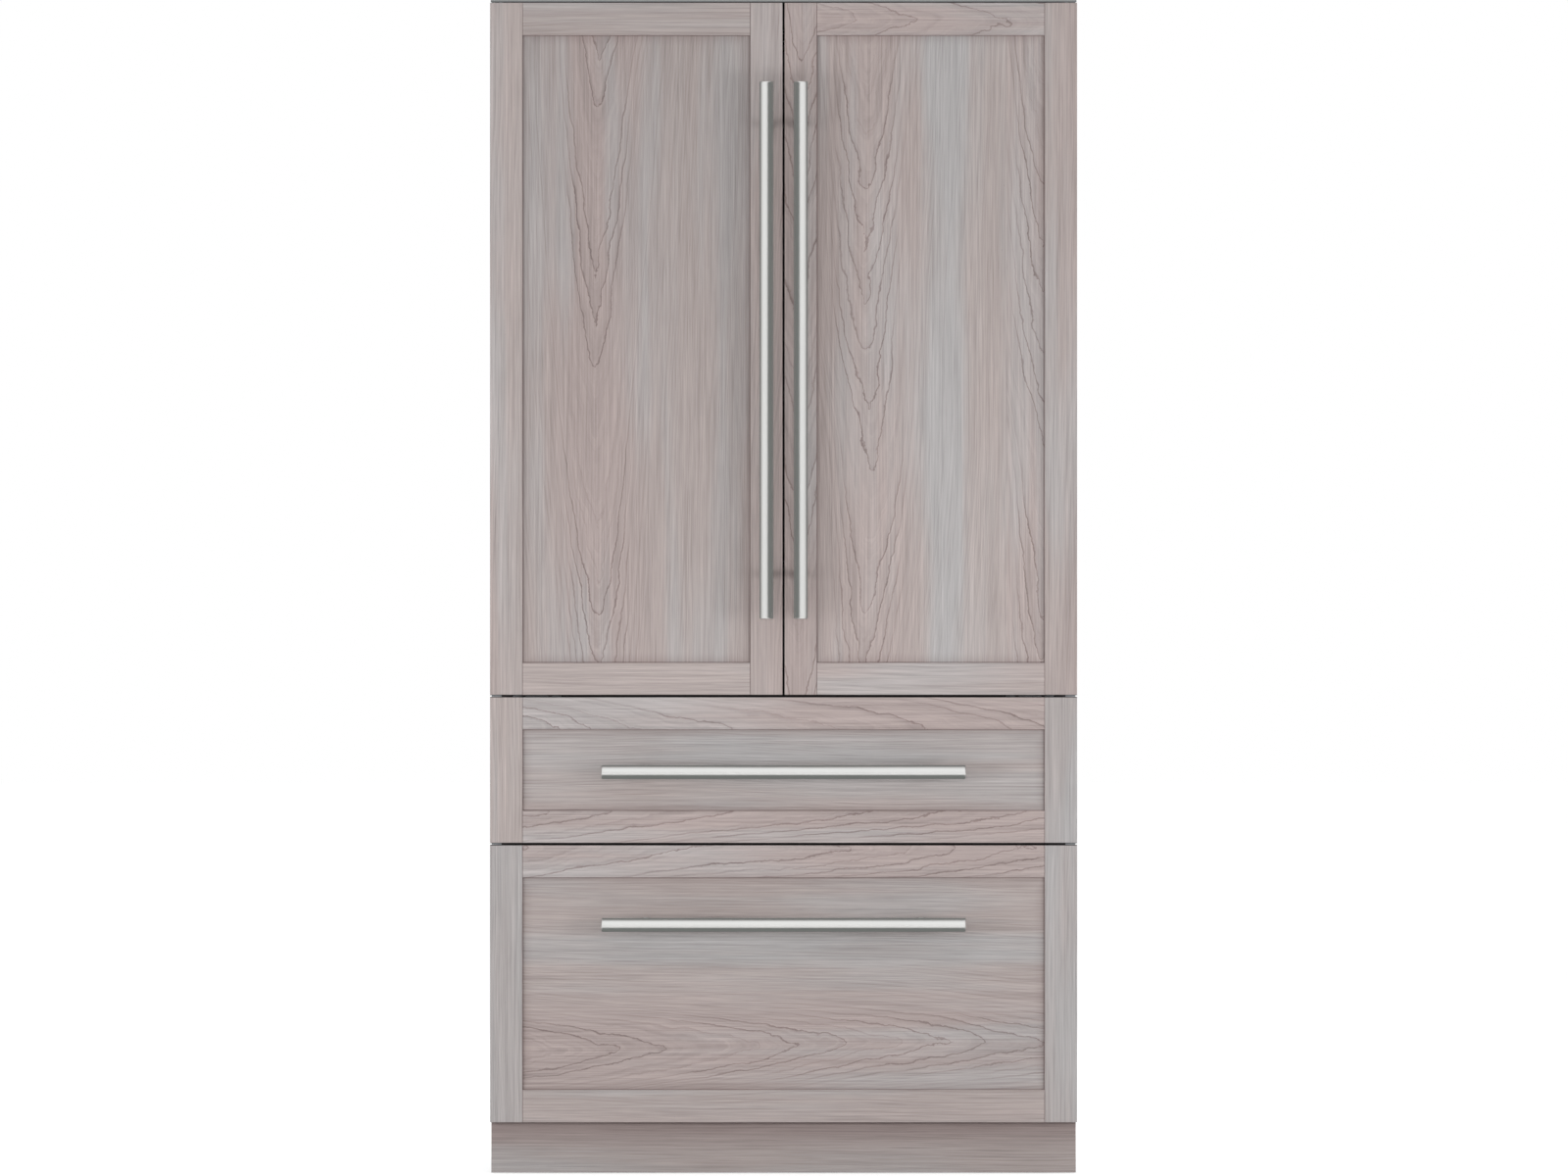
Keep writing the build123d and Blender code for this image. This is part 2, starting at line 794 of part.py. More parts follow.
# The tubs stand between the inner slide members, behind the drawer fronts
tub_half = inner_web + tub_rim
upper_tub = (
    -tub_half,
    tub_half,
    body_back_y,
    cavity_back_y - upper_tub_rear_gap,
    upper_floor + tub_floor_gap,
    upper_ceiling - tub_top_gap,
)
lower_tub = (
    -tub_half,
    tub_half,
    body_back_y,
    step_y - lower_tub_rear_gap,
    lower_floor + tub_floor_gap,
    lower_floor + tub_floor_gap + lower_tub_height,
)
for name, tub in (("upper", upper_tub), ("lower", lower_tub)):
    make_trays(f"{name}_drawer_tub", [tub], tub_wall, tub_corner, tub_rim, tub_rim_height)


# Case: folded steel sides, top and rear round insulation boards

side_inner = case_half - side_sheet
liner_outer = liner_half + liner_sheet
liner_back_y = cavity_back_y + liner_sheet
top_front_y = front_y + top_hem_setback
side_return_y = inner_rear_y - side_sheet
duct_y = cavity_back_y - duct_depth
glass_back_y = duct_y - shelf_rear_gap
glass_front_y = body_back_y + bin_fit + bin_reach + shelf_front_gap
shelf_outer = liner_half - shelf_gap
crisper_top = fresh_floor + crisper_floor_gap + crisper_height
cover_low = crisper_top + crisper_cover_gap

with BuildPart() as side_panels:
    with BuildSketch(Plane.XY.offset(base_bottom)):
        for side in (-1, 1):
            rect(*span(side, side_inner, case_half), case_y, inner_rear_y)
            rect(*span(side, case_half - front_return, case_half), case_y, case_y + side_sheet)
            rect(*span(side, case_half - rear_return, case_half), side_return_y, inner_rear_y)
    extrude(amount=top_inner - base_bottom)
    # Screw holes for fixing the unit to the cabinets beside it
    with BuildSketch(Plane.YZ.offset(-case_half)):
        with Locations((case_y + side_screw_setback, unit_height / 2)):
            with GridLocations(side_screw_spacing, side_screw_spacing, 1, side_screw_count):
                Circle(side_screw / 2)
    extrude(amount=2 * case_half, mode=Mode.SUBTRACT)
keep(side_panels, "side_panels")

with BuildPart() as top_panel:
    with BuildSketch(Plane.XY.offset(top_inner)):
        rect(-case_half, case_half, top_front_y, rear_y)
        with Locations((0, inner_rear_y - anti_tip_setback)):
            with GridLocations(anti_tip_spacing, anti_tip_spacing, 2, 1):
                Circle(anti_tip_hole / 2, mode=Mode.SUBTRACT)
    extrude(amount=top_sheet)
    # The folded front edge that shows over the doors
    with BuildSketch(Plane.XY.offset(unit_height)):
        rect(-case_half, case_half, top_front_y, top_front_y + 2 * top_sheet)
    extrude(amount=-top_hem)
keep(top_panel, "top_panel")

louvre_z = (base_top + machine_top) / 2
with BuildPart() as rear_panel:
    with BuildSketch(at_y(inner_rear_y)):
        rect(-case_half, case_half, base_bottom, top_inner)
        with Locations((0, louvre_z)):
            with GridLocations(louvre_column_pitch, louvre_pitch, louvre_columns, louvre_rows):
                Rectangle(louvre_width, louvre_height, mode=Mode.SUBTRACT)
        with Locations((inlet_from_side - case_half, inlet_height)):
            Circle(inlet_diameter / 2 + inlet_fit, mode=Mode.SUBTRACT)
    extrude(amount=-rear_sheet)
keep(rear_panel, "rear_panel")

with BuildPart() as insulation:
    joint = board_joint
    board_back_y = side_return_y - joint
    side_board = liner_outer + joint
    for side in (-1, 1):
        block(*span(side, side_board, side_inner), cavity_y, board_back_y, base_top, top_inner)
    for low, high in (
        (fresh_ceiling + liner_sheet, top_inner),
        (upper_ceiling + liner_sheet, fresh_floor - liner_sheet),
        (lower_ceiling + liner_sheet, upper_floor - liner_sheet),
    ):
        block(-liner_outer, liner_outer, cavity_y, liner_back_y, low, high)
    back_board = liner_back_y + joint
    block(-liner_outer, liner_outer, back_board, board_back_y, machine_top, top_inner)
    step_board_y = step_y + liner_sheet
    block(-liner_outer, liner_outer, cavity_y, machine_y, base_top, lower_floor - liner_sheet)
    upright_low = lower_floor - liner_sheet + joint
    block(-liner_outer, liner_outer, step_board_y, machine_y, upright_low, machine_top - joint)
    block(-liner_outer, liner_outer, step_board_y, liner_back_y, machine_top, step_z - liner_sheet)
keep(insulation, "insulation")


def liner_box(low, high):
    """The shell of one compartment, with rounded inner corners, in the open part."""
    block(
        -liner_outer,
        liner_outer,
        cavity_y,
        liner_back_y,
        low - liner_sheet,
        high + liner_sheet,
    )


with BuildPart() as inner_liners:
    for low, high in ((upper_floor, upper_ceiling), (fresh_floor, fresh_ceiling)):
        liner_box(low, high)
        with BuildSketch(at_y(cavity_y)) as mouth:
            rect(-liner_half, liner_half, low, high)
            fillet(mouth.vertices(), radius=liner_corner)
        extrude(amount=cavity_y - cavity_back_y, mode=Mode.SUBTRACT)
    # Ledges in the fresh food space carry the cover over the crisper drawers
    for side in (-1, 1):
        ledge = span(side, shelf_outer - cover_ledge, liner_half + liner_sheet / 2)
        block(*ledge, glass_front_y, glass_back_y, cover_low - cover_ledge, cover_low)
    # The lower compartment steps up over the machine compartment
    with BuildSketch(Plane.YZ.offset(-liner_outer)):
        rect(cavity_y, liner_back_y, lower_floor - liner_sheet, lower_ceiling + liner_sheet)
        rect(
            step_y + liner_sheet,
            liner_back_y,
            lower_floor - liner_sheet,
            step_z - liner_sheet,
            mode=Mode.SUBTRACT,
        )
    extrude(amount=2 * liner_outer)
    with BuildSketch(Plane.YZ.offset(-liner_half)) as cavity:
        rect(cavity_y, cavity_back_y, lower_floor, lower_ceiling)
        rect(step_y, cavity_back_y, lower_floor, step_z, mode=Mode.SUBTRACT)
        fillet(cavity.vertices().group_by(Axis.X)[1:], radius=liner_corner)
    extrude(amount=2 * liner_half, mode=Mode.SUBTRACT)
keep(inner_liners, "inner_liners")

with BuildPart() as front_frame:
    frame_outer = case_half - front_return
    with BuildSketch(at_y(case_y)):
        for side in (-1, 1):
            rect(*span(side, liner_half, frame_outer), base_top, top_inner)
        cross_half = liner_half - board_joint
        for low, high in (
            (base_top, lower_floor),
            (lower_ceiling, upper_floor),
            (upper_ceiling, fresh_floor),
            (fresh_ceiling, top_inner),
        ):
            rect(-cross_half, cross_half, low, high)
    extrude(amount=-frame_sheet)
keep(front_frame, "front_frame")


# Hinge brackets with their pins, two over the doors and two below them

top_plate = top_inner - bracket_plate
door_body_top = door_top - hinge_room
door_body_bottom = door_bottom + hinge_room
centre_plate = door_body_bottom - bracket_gap - bracket_plate

with BuildPart() as hinge_brackets:
    for side in (-1, 1):
        pivot = (side * pivot_x, pivot_y)
        tab_near = pivot_x - bracket_inner_reach
        tab_ends = span(side, tab_near, tab_near - bracket_width)
        screw_x = side * (tab_near - bracket_width / 2)
        for plate in (top_plate, centre_plate):
            tab = plate + bracket_plate - bracket_tab_height
            screw_z = tab + bracket_screw_edge
            with BuildSketch(Plane.XY.offset(plate)) as arm:
                with Locations(pivot):
                    Circle(bracket_nose)
                rect(*tab_ends, case_y - bracket_tab, case_y)
                make_hull()
                with Locations(pivot):
                    Circle(pin_diameter / 2 + pin_fit, mode=Mode.SUBTRACT)
            extrude(amount=bracket_plate)
            block(*tab_ends, case_y - bracket_tab, case_y, tab, tab + bracket_tab_height)
            with BuildSketch(at_y(case_y)):
                with Locations((screw_x, screw_z)):
                    with GridLocations(bracket_screw_spacing, bracket_tab_height, 2, 1):
                        Circle(bracket_screw / 2)
            extrude(amount=bracket_tab, mode=Mode.SUBTRACT)
keep(hinge_brackets, "hinge_brackets")

with BuildPart() as hinge_pins:
    for side in (-1, 1):
        for start, way, collar in (
            (top_inner, -1, top_collar_height),
            (centre_plate, 1, bracket_gap - pin_collar_gap),
        ):
            reach = abs((door_body_top if way < 0 else door_body_bottom) - start) + pin_engagement
            with BuildSketch(Plane.XY.offset(start)):
                with Locations((side * pivot_x, pivot_y)):
                    Circle(pin_diameter / 2)
            extrude(amount=way * reach)
            with BuildSketch(Plane.XY.offset(start + way * bracket_plate)):
                with Locations((side * pivot_x, pivot_y)):
                    Circle(pin_collar_diameter / 2)
            extrude(amount=way * collar)
keep(hinge_pins, "hinge_pins")


# Base: a folded steel tray on four feet, with two rollers at the rear

base_half = side_inner - base_side_gap
foot_x = case_half - foot_side_inset
foot_ys = (case_y + foot_end_inset, inner_rear_y - foot_end_inset)
foot_points = [(side * foot_x, y) for side in (-1, 1) for y in foot_ys]
roller_x = case_half - roller_side_inset
roller_y = rear_y - roller_end_inset
roller_z = roller_floor_gap + roller_diameter / 2
well_half = roller_width / 2 + roller_side_gap
well_length = roller_diameter / 2 + roller_end_gap
toe_kick_y = front_y + toe_kick_recess
toe_kick_back_y = toe_kick_y + toe_kick_thickness
toe_kick_half = half_width - toe_kick_end_gap

with BuildPart() as base_frame:
    block(-base_half, base_half, cavity_y, side_return_y, base_bottom, base_top)
    offset(amount=-base_sheet, openings=base_frame.faces().sort_by(Axis.Z)[-1])
    # A cross member under the front of the machine compartment
    block(-base_half, base_half, machine_y - base_sheet, machine_y, base_bottom, base_top)
    # Air slots in the front wall, and a low rear wall
    with BuildSketch(at_y(cavity_y)):
        with Locations((0, (base_bottom + base_top) / 2)):
            with GridLocations(base_slot_pitch_x, base_slot_pitch_z, base_slot_columns, 2):
                Rectangle(base_slot_width, base_slot_height)
    extrude(amount=-2 * base_sheet, mode=Mode.SUBTRACT)
    # Holes for the feet's stems and wells for the rollers
    with BuildSketch(Plane.XY.offset(base_bottom)):
        with Locations(*foot_points):
            Circle(foot_stem_diameter / 2 + foot_stem_clearance)
        for side in (-1, 1):
            rect(
                side * roller_x - well_half,
                side * roller_x + well_half,
                roller_y - well_length,
                roller_y + well_length,
            )
    extrude(amount=base_sheet, mode=Mode.SUBTRACT)
    # Cheeks beside each roller, with its axle between them
    cheek_ys = (roller_y - roller_cheek_radius, roller_y + roller_cheek_radius)
    for side in (-1, 1):
        cheek_out = well_half + roller_cheek
        for face in (side * roller_x - cheek_out, side * roller_x + well_half):
            with BuildSketch(Plane.YZ.offset(face)):
                with Locations((roller_y, roller_z)):
                    Circle(roller_cheek_radius)
                rect(*cheek_ys, roller_z, base_bottom + roller_cheek_radius)
            extrude(amount=roller_cheek)
        with BuildSketch(Plane.YZ.offset(side * roller_x - well_half)):
            with Locations((roller_y, roller_z)):
                Circle(roller_axle / 2)
        extrude(amount=2 * well_half)
    # Arms that hold the toe kick
    for side in (-1, 1):
        arm_ends = span(side, kick_arm_from_centre, kick_arm_from_centre + kick_arm_width)
        arm_top = base_bottom + kick_arm_height
        block(*arm_ends, toe_kick_back_y, cavity_y, base_bottom, base_bottom + base_sheet)
        block(*arm_ends, toe_kick_back_y, toe_kick_back_y + base_sheet, base_bottom, arm_top)
keep(base_frame, "base_frame")

with BuildPart() as toe_kick:
    with BuildSketch(at_y(toe_kick_y)):
        rect(-toe_kick_half, toe_kick_half, toe_kick_floor_gap, toe_kick_top)
    extrude(amount=-toe_kick_thickness)
    fillet(toe_kick.faces().sort_by(Axis.Y)[0].edges(), radius=edge_round)
keep(toe_kick, "toe_kick")

with BuildPart() as levelling_feet:
    for x, y in foot_points:
        with BuildSketch(Plane.XY):
            with Locations((x, y)):
                Circle(foot_pad_diameter / 2)
        extrude(amount=foot_pad_height, taper=foot_pad_draft)
        with BuildSketch(Plane.XY.offset(base_bottom - foot_nut_height)):
            with Locations((x, y)):
                RegularPolygon(foot_nut_width / 2, 6, major_radius=False)
        extrude(amount=foot_nut_height)
        with BuildSketch(Plane.XY):
            with Locations((x, y)):
                Circle(foot_stem_diameter / 2)
        extrude(amount=base_top - foot_nut_height)
keep(levelling_feet, "levelling_feet")

with BuildPart() as rear_rollers:
    for side in (-1, 1):
        with BuildSketch(Plane.YZ.offset(side * roller_x - roller_width / 2)):
            with Locations((roller_y, roller_z)):
                Circle(roller_diameter / 2)
                Circle(roller_axle / 2 + roller_fit, mode=Mode.SUBTRACT)
        extrude(amount=roller_width)
keep(rear_rollers, "rear_rollers")


# Machine compartment: compressor, condenser in its tray, fans

tray_floor = base_bottom + base_sheet
condenser_right = case_half - condenser_from_side
condenser_left = condenser_right - condenser_width
condenser_y = machine_y + (machine_depth - condenser_depth) / 2
condenser_back_y = condenser_y + condenser_depth
shroud_x = condenser_left - tray_margin - fan_ring_depth
fan_y = (condenser_y + condenser_back_y) / 2
fan_z = tray_floor + tray_wall + condenser_height / 2
evaporator_back_y = cavity_back_y - liner_corner
cover_y = cavity_back_y - cover_rear_room
cover_fan_z = lower_ceiling - liner_corner - fan_radius
ring_radius = fan_radius + fan_tip_gap


def turned(plane, angle):
    """A plane turned about its own normal."""
    return Plane(plane.location * Location((0, 0, 0), (0, 0, angle)))


def make_fan(name, hub_plane):
    """A bored hub with twisted blades that run out from it towards a ring."""
    with BuildPart() as wheel:
        with BuildSketch(hub_plane):
            Circle(fan_hub_radius)
        extrude(amount=fan_hub_length)
        middle = hub_plane.offset(fan_hub_length / 2)
        for index in range(fan_blade_count):
            spoke = turned(middle, 360 * index / fan_blade_count)
            for radius, chord, pitch in (
                (fan_hub_radius - fan_blade_thickness, fan_hub_length, fan_root_pitch),
                (fan_radius - fan_blade_thickness, fan_blade_chord, fan_tip_pitch),
            ):
                across = Plane(
                    origin=spoke.origin + spoke.x_dir * radius,
                    x_dir=spoke.y_dir,
                    z_dir=spoke.x_dir,
                )
                with BuildSketch(turned(across, pitch)):
                    Rectangle(chord, fan_blade_thickness)
            loft()
        with BuildSketch(hub_plane):
            Circle(fan_shaft / 2 + fan_shaft_fit)
        extrude(amount=fan_hub_length, mode=Mode.SUBTRACT)
    keep(wheel, name)


def spider(ring_plane):
    """The outline of the disc and arms that hold a fan's motor inside its ring."""
    with BuildSketch(ring_plane) as arms:
        Circle(fan_motor_radius)
        with PolarLocations(0, spider_count, start_angle=90):
            Rectangle(ring_radius + tray_wall / 2, spider_width, align=(Align.MIN, Align.CENTER))
    return arms.sketch


with BuildPart() as fan_shroud:
    # Drain tray under the condenser and the fan
    with BuildSketch(Plane.XY.offset(tray_floor)) as tray:
        rect(
            shroud_x - tray_wall,
            condenser_right + tray_margin,
            condenser_y - tray_margin,
            condenser_back_y + tray_margin,
        )
        fillet(tray.vertices(), radius=tray_margin)
    extrude(amount=tray_height)
    with BuildSketch(Plane.XY.offset(tray_floor + tray_wall)) as tray_hollow:
        rect(
            shroud_x,
            condenser_right + tray_margin - tray_wall,
            condenser_y - tray_margin + tray_wall,
            condenser_back_y + tray_margin - tray_wall,
        )
        fillet(tray_hollow.vertices(), radius=tray_margin - tray_wall)
    extrude(amount=tray_height, mode=Mode.SUBTRACT)
    # Shroud wall with its ring
    shroud_plane = Plane(origin=(shroud_x, fan_y, fan_z), x_dir=(0, 1, 0), z_dir=(1, 0, 0))
    with BuildSketch(Plane.YZ.offset(shroud_x - tray_wall)):
        rect(condenser_y, condenser_back_y, tray_floor, tray_floor + tray_wall + condenser_height)
    extrude(amount=tray_wall)
    with BuildSketch(shroud_plane):
        Circle(ring_radius + tray_wall)
    extrude(amount=fan_ring_depth)
    with BuildSketch(shroud_plane.offset(-tray_wall)):
        Circle(ring_radius)
    extrude(amount=fan_ring_depth + tray_wall, mode=Mode.SUBTRACT)
    extrude(spider(shroud_plane.offset(-tray_wall)), amount=tray_wall)
    with BuildSketch(shroud_plane.offset(-fan_motor_length)):
        Circle(fan_motor_radius)
    extrude(amount=fan_motor_length)
    with BuildSketch(shroud_plane):
        Circle(fan_shaft / 2)
    extrude(amount=fan_hub_length + fan_end_gap)
keep(fan_shroud, "fan_shroud")
make_fan("condenser_fan", shroud_plane.offset(fan_end_gap))


def make_fin_block(name, x0, x1, y0, y1, z0, z1):
    """A coil of tube plates seen from its ends: fins on both sides of a middle web."""
    count = int((x1 - x0) / fin_pitch)
    cut_depth = (y1 - y0 - fin_web) / 2
    with BuildPart() as coil:
        block(x0, x1, y0, y1, z0, z1)
        for edge_y, align in ((y0, Align.MIN), (y1, Align.MAX)):
            with BuildSketch(Plane.XY.offset(z0)):
                with Locations(((x0 + x1) / 2, edge_y)):
                    with GridLocations(fin_pitch, fin_pitch, count, 1):
                        Rectangle(fin_pitch - fin_thickness, cut_depth, align=(Align.CENTER, align))
            extrude(amount=z1 - z0, mode=Mode.SUBTRACT)
    keep(coil, name)


coil_floor = tray_floor + tray_wall
make_fin_block(
    "condenser",
    condenser_left,
    condenser_right,
    condenser_y,
    condenser_back_y,
    coil_floor,
    coil_floor + condenser_height,
)
make_fin_block(
    "evaporator",
    -evaporator_width / 2,
    evaporator_width / 2,
    evaporator_back_y - evaporator_depth,
    evaporator_back_y,
    step_z,
    step_z + evaporator_height,
)

compressor_x = compressor_from_side - case_half
compressor_y = machine_y + machine_depth / 2
can_floor = tray_floor + grommet_height + compressor_plate
seam_z = can_floor + compressor_height / 2

with BuildPart() as compressor:
    # The welded can with its domed ends, and its seam as a flange round the middle
    with BuildSketch(Plane.XY.offset(can_floor)):
        with Locations((compressor_x, compressor_y)):
            Circle(compressor_radius)
    extrude(amount=compressor_height)
    fillet(compressor.edges().filter_by(GeomType.CIRCLE), radius=compressor_crown)
    with BuildSketch(Plane.XY.offset(seam_z)):
        with Locations((compressor_x, compressor_y)):
            Circle(compressor_radius + compressor_seam)
    extrude(amount=compressor_seam)
    # Terminal cover on the side, and the suction and discharge stubs
    terminal_x = compressor_x + compressor_radius
    terminal_low = seam_z + compressor_seam + terminal_rise
    block(
        terminal_x - terminal_depth,
        terminal_x + terminal_depth,
        compressor_y - terminal_width / 2,
        compressor_y + terminal_width / 2,
        terminal_low,
        terminal_low + terminal_height,
    )
    with BuildSketch(Plane.YZ.offset(compressor_x)):
        with Locations((compressor_y, seam_z - terminal_height)):
            with GridLocations(terminal_width, terminal_width, 2, 1):
                Circle(stub_diameter / 2)
    extrude(amount=-(compressor_radius + stub_length))
    # Foot plate on four grommets
    with BuildSketch(Plane.XY.offset(can_floor - compressor_plate)) as plate:
        with Locations((compressor_x, compressor_y)):
            Rectangle(
                grommet_spacing_x + grommet_diameter,
                grommet_spacing_y + grommet_diameter,
            )
        fillet(plate.vertices(), radius=grommet_diameter / 2)
    extrude(amount=compressor_plate)
    with BuildSketch(Plane.XY.offset(tray_floor)):
        with Locations((compressor_x, compressor_y)):
            with GridLocations(grommet_spacing_x, grommet_spacing_y, 2, 2):
                Circle(grommet_diameter / 2)
    extrude(amount=grommet_height)
keep(compressor, "compressor")

inlet_x = inlet_from_side - case_half
with BuildPart() as power_inlet:
    with BuildSketch(at_y(rear_y)):
        with Locations((inlet_x, inlet_height)):
            Circle(inlet_diameter / 2)
    extrude(amount=inlet_length)
    with BuildSketch(at_y(inner_rear_y)):
        with Locations((inlet_x, inlet_height)):
            RegularPolygon(inlet_flange / 2, 6, major_radius=False)
    extrude(amount=inlet_flange_thickness)
    with BuildSketch(at_y(rear_y)):
        with Locations((inlet_x, inlet_height)):
            Circle(inlet_bore / 2)
    extrude(amount=inlet_length, mode=Mode.SUBTRACT)
keep(power_inlet, "power_inlet")


# Air ducts: the freezer's rear cover with its fan ring, and the tower behind the shelves

cover_plane = Plane(origin=(0, cover_y, cover_fan_z), x_dir=(1, 0, 0), z_dir=(0, 1, 0))

with BuildPart() as air_ducts:
    with BuildSketch(at_y(cover_y)):
        rect(liner_corner - liner_half, liner_half - liner_corner, step_z, lower_ceiling)
        for side in (-1, 1):
            with Locations((side * cover_slot_offset, cover_fan_z)):
                with GridLocations(cover_slot_length, cover_slot_pitch, 1, cover_slot_rows):
                    Rectangle(cover_slot_length, cover_slot_height, mode=Mode.SUBTRACT)
    extrude(amount=-cover_sheet)
    with BuildSketch(cover_plane):
        Circle(ring_radius + cover_sheet)
    extrude(amount=fan_ring_depth)
    with BuildSketch(cover_plane):
        Circle(ring_radius)
    extrude(amount=fan_ring_depth, mode=Mode.SUBTRACT)
    extrude(spider(cover_plane), amount=cover_sheet)
    with BuildSketch(cover_plane):
        Circle(fan_shaft / 2)
    extrude(amount=cover_sheet + fan_hub_length + fan_end_gap)
    # The tower, with rounded front edges and a row of outlets
    with BuildSketch(Plane.XY.offset(cover_low)) as tower:
        rect(-duct_width / 2, duct_width / 2, duct_y, cavity_back_y)
        fillet(tower.vertices().group_by(Axis.Y)[0], radius=duct_round)
    extrude(amount=fresh_ceiling - cover_low)
    with BuildSketch(at_y(duct_y)):
        with Locations((0, (fresh_ceiling + cover_low) / 2)):
            with GridLocations(duct_slot_pitch_x, duct_slot_pitch_z, 2, duct_slot_rows):
                Rectangle(duct_slot_length, duct_slot_height)
    extrude(amount=-duct_depth / 2, mode=Mode.SUBTRACT)
keep(air_ducts, "air_ducts")
make_fan("evaporator_fan", cover_plane.offset(cover_sheet + fan_end_gap))


# Shelves: slotted ladders on the rear wall, cantilever arms and glass

ladder_low = fresh_floor + ladder_bottom
ladder_high = fresh_ceiling - ladder_top
ladder_y = cavity_back_y - ladder_depth
ladder_rows = int((ladder_high - ladder_low) / ladder_pitch)
first_slot_z = (ladder_low + ladder_high - (ladder_rows - 1) * ladder_pitch) / 2
left_top_slot = ladder_rows - left_slots_above
left_slots = (lowest_left_slot, (lowest_left_slot + left_top_slot) // 2, left_top_slot)
right_slots = (lowest_right_slot, ladder_rows - right_slots_above)
# The middle of an arm's hooked end stands at its slot, and the glass lies on the arm
left_shelf_zs = [first_slot_z + slot * ladder_pitch + arm_rear_height / 2 for slot in left_slots]
right_shelf_zs = [first_slot_z + slot * ladder_pitch + arm_rear_height / 2 for slot in right_slots]
arm_rear_y = ladder_y - joint_fit
shelf_inner = shelf_gap / 2
ladder_xs = (duct_width / 2 + ladder_width, shelf_outer - arm_inset)

with BuildPart() as shelf_supports:
    for side, shelf_zs in ((-1, left_shelf_zs), (1, right_shelf_zs)):
        for x in ladder_xs:
            with BuildSketch(at_y(ladder_y)):
                with Locations((side * x, (ladder_low + ladder_high) / 2)):
                    Rectangle(ladder_width, ladder_high - ladder_low)
                    with GridLocations(ladder_pitch, ladder_pitch, 1, ladder_rows):
                        Rectangle(ladder_slot, ladder_slot_height, mode=Mode.SUBTRACT)
            extrude(amount=-ladder_depth)
            for z in shelf_zs:
                # An arm tapers from its hooks at the ladder to the front of the glass
                with BuildSketch(Plane.YZ.offset(side * x - arm_thickness / 2)):
                    with BuildLine():
                        Polyline(
                            (arm_rear_y, z),
                            (glass_front_y + arm_front_setback, z),
                            (glass_front_y + arm_front_setback, z - arm_front_height),
                            (arm_rear_y, z - arm_rear_height),
                            close=True,
                        )
                    make_face()
                extrude(amount=arm_thickness)
keep(shelf_supports, "shelf_supports")

with BuildPart() as glass_shelves:
    for side, shelf_zs in ((-1, left_shelf_zs), (1, right_shelf_zs)):
        for z in shelf_zs:
            with BuildSketch(Plane.XY.offset(z)) as pane:
                rect(*span(side, shelf_inner, shelf_outer), glass_front_y, glass_back_y)
                fillet(pane.vertices(), radius=glass_corner)
            extrude(amount=glass_thickness)
    # The full-width cover over the crisper drawers
    with BuildSketch(Plane.XY.offset(cover_low)) as cover:
        rect(-shelf_outer, shelf_outer, glass_front_y, glass_back_y)
        fillet(cover.vertices(), radius=glass_corner)
    extrude(amount=glass_thickness)
keep(glass_shelves, "glass_shelves")

# Two crisper drawers on runners under the lowest glass, each with a shaped pull

crisper_y = glass_front_y
crisper_back_y = cavity_back_y - crisper_rear_gap
with BuildPart() as crisper_drawers:
    for side in (-1, 1):
        box_ends = span(side, shelf_inner, shelf_outer - liner_corner)
        low = fresh_floor + crisper_floor_gap
        with BuildSketch(Plane.XY.offset(low)) as box:
            rect(*box_ends, crisper_y, crisper_back_y)
            fillet(box.vertices(), radius=crisper_corner)
        extrude(amount=crisper_height)
        with BuildSketch(Plane.XY.offset(low + crisper_wall)) as hollow:
            rect(
                box_ends[0] + crisper_wall,
                box_ends[1] - crisper_wall,
                crisper_y + crisper_wall,
                crisper_back_y - crisper_wall,
            )
            fillet(hollow.vertices(), radius=crisper_corner - crisper_wall)
        extrude(amount=crisper_height, mode=Mode.SUBTRACT)
        # The pull: a lip that hooks forward along the top edge
        with BuildSketch(Plane.YZ.offset(box_ends[0] + crisper_corner)):
            with BuildLine():
                Polyline(
                    (crisper_y + crisper_wall, crisper_top),
                    (crisper_y - crisper_pull_depth, crisper_top),
                    (crisper_y - crisper_pull_depth, crisper_top - crisper_pull_height),
                    (crisper_y - crisper_pull_depth + crisper_wall, crisper_top - crisper_pull_height),
                    (crisper_y - crisper_pull_depth + crisper_wall, crisper_top - crisper_wall),
                    (crisper_y + crisper_wall, crisper_top - crisper_wall),
                    close=True,
                )
            make_face()
        extrude(amount=box_ends[1] - box_ends[0] - 2 * crisper_corner)
keep(crisper_drawers, "crisper_drawers")

# Ceiling unit: a wedge-fronted housing with the touch strip, and the light lens in its underside

unit_y = cavity_y + ceiling_unit_front
unit_low = fresh_ceiling - ceiling_unit_height
lens_y = unit_y + ceiling_unit_depth - ceiling_unit_height - lens_depth

with BuildPart() as control_panel:
    with BuildSketch(Plane.YZ.offset(-ceiling_unit_width / 2)):
        with BuildLine():
            Polyline(
                (unit_y, fresh_ceiling),
                (unit_y + ceiling_unit_height / 2, unit_low),
                (unit_y + ceiling_unit_depth, unit_low),
                (unit_y + ceiling_unit_depth, fresh_ceiling),
                close=True,
            )
        make_face()
    extrude(amount=ceiling_unit_width)
    fillet(control_panel.edges().filter_by(Axis.Z), radius=ceiling_unit_round)
    with BuildSketch(Plane.XY.offset(unit_low)) as recess:
        rect(-lens_width / 2, lens_width / 2, lens_y, lens_y + lens_depth)
        fillet(recess.vertices(), radius=lens_corner)
    extrude(amount=lens_height, mode=Mode.SUBTRACT)
keep(control_panel, "control_panel")

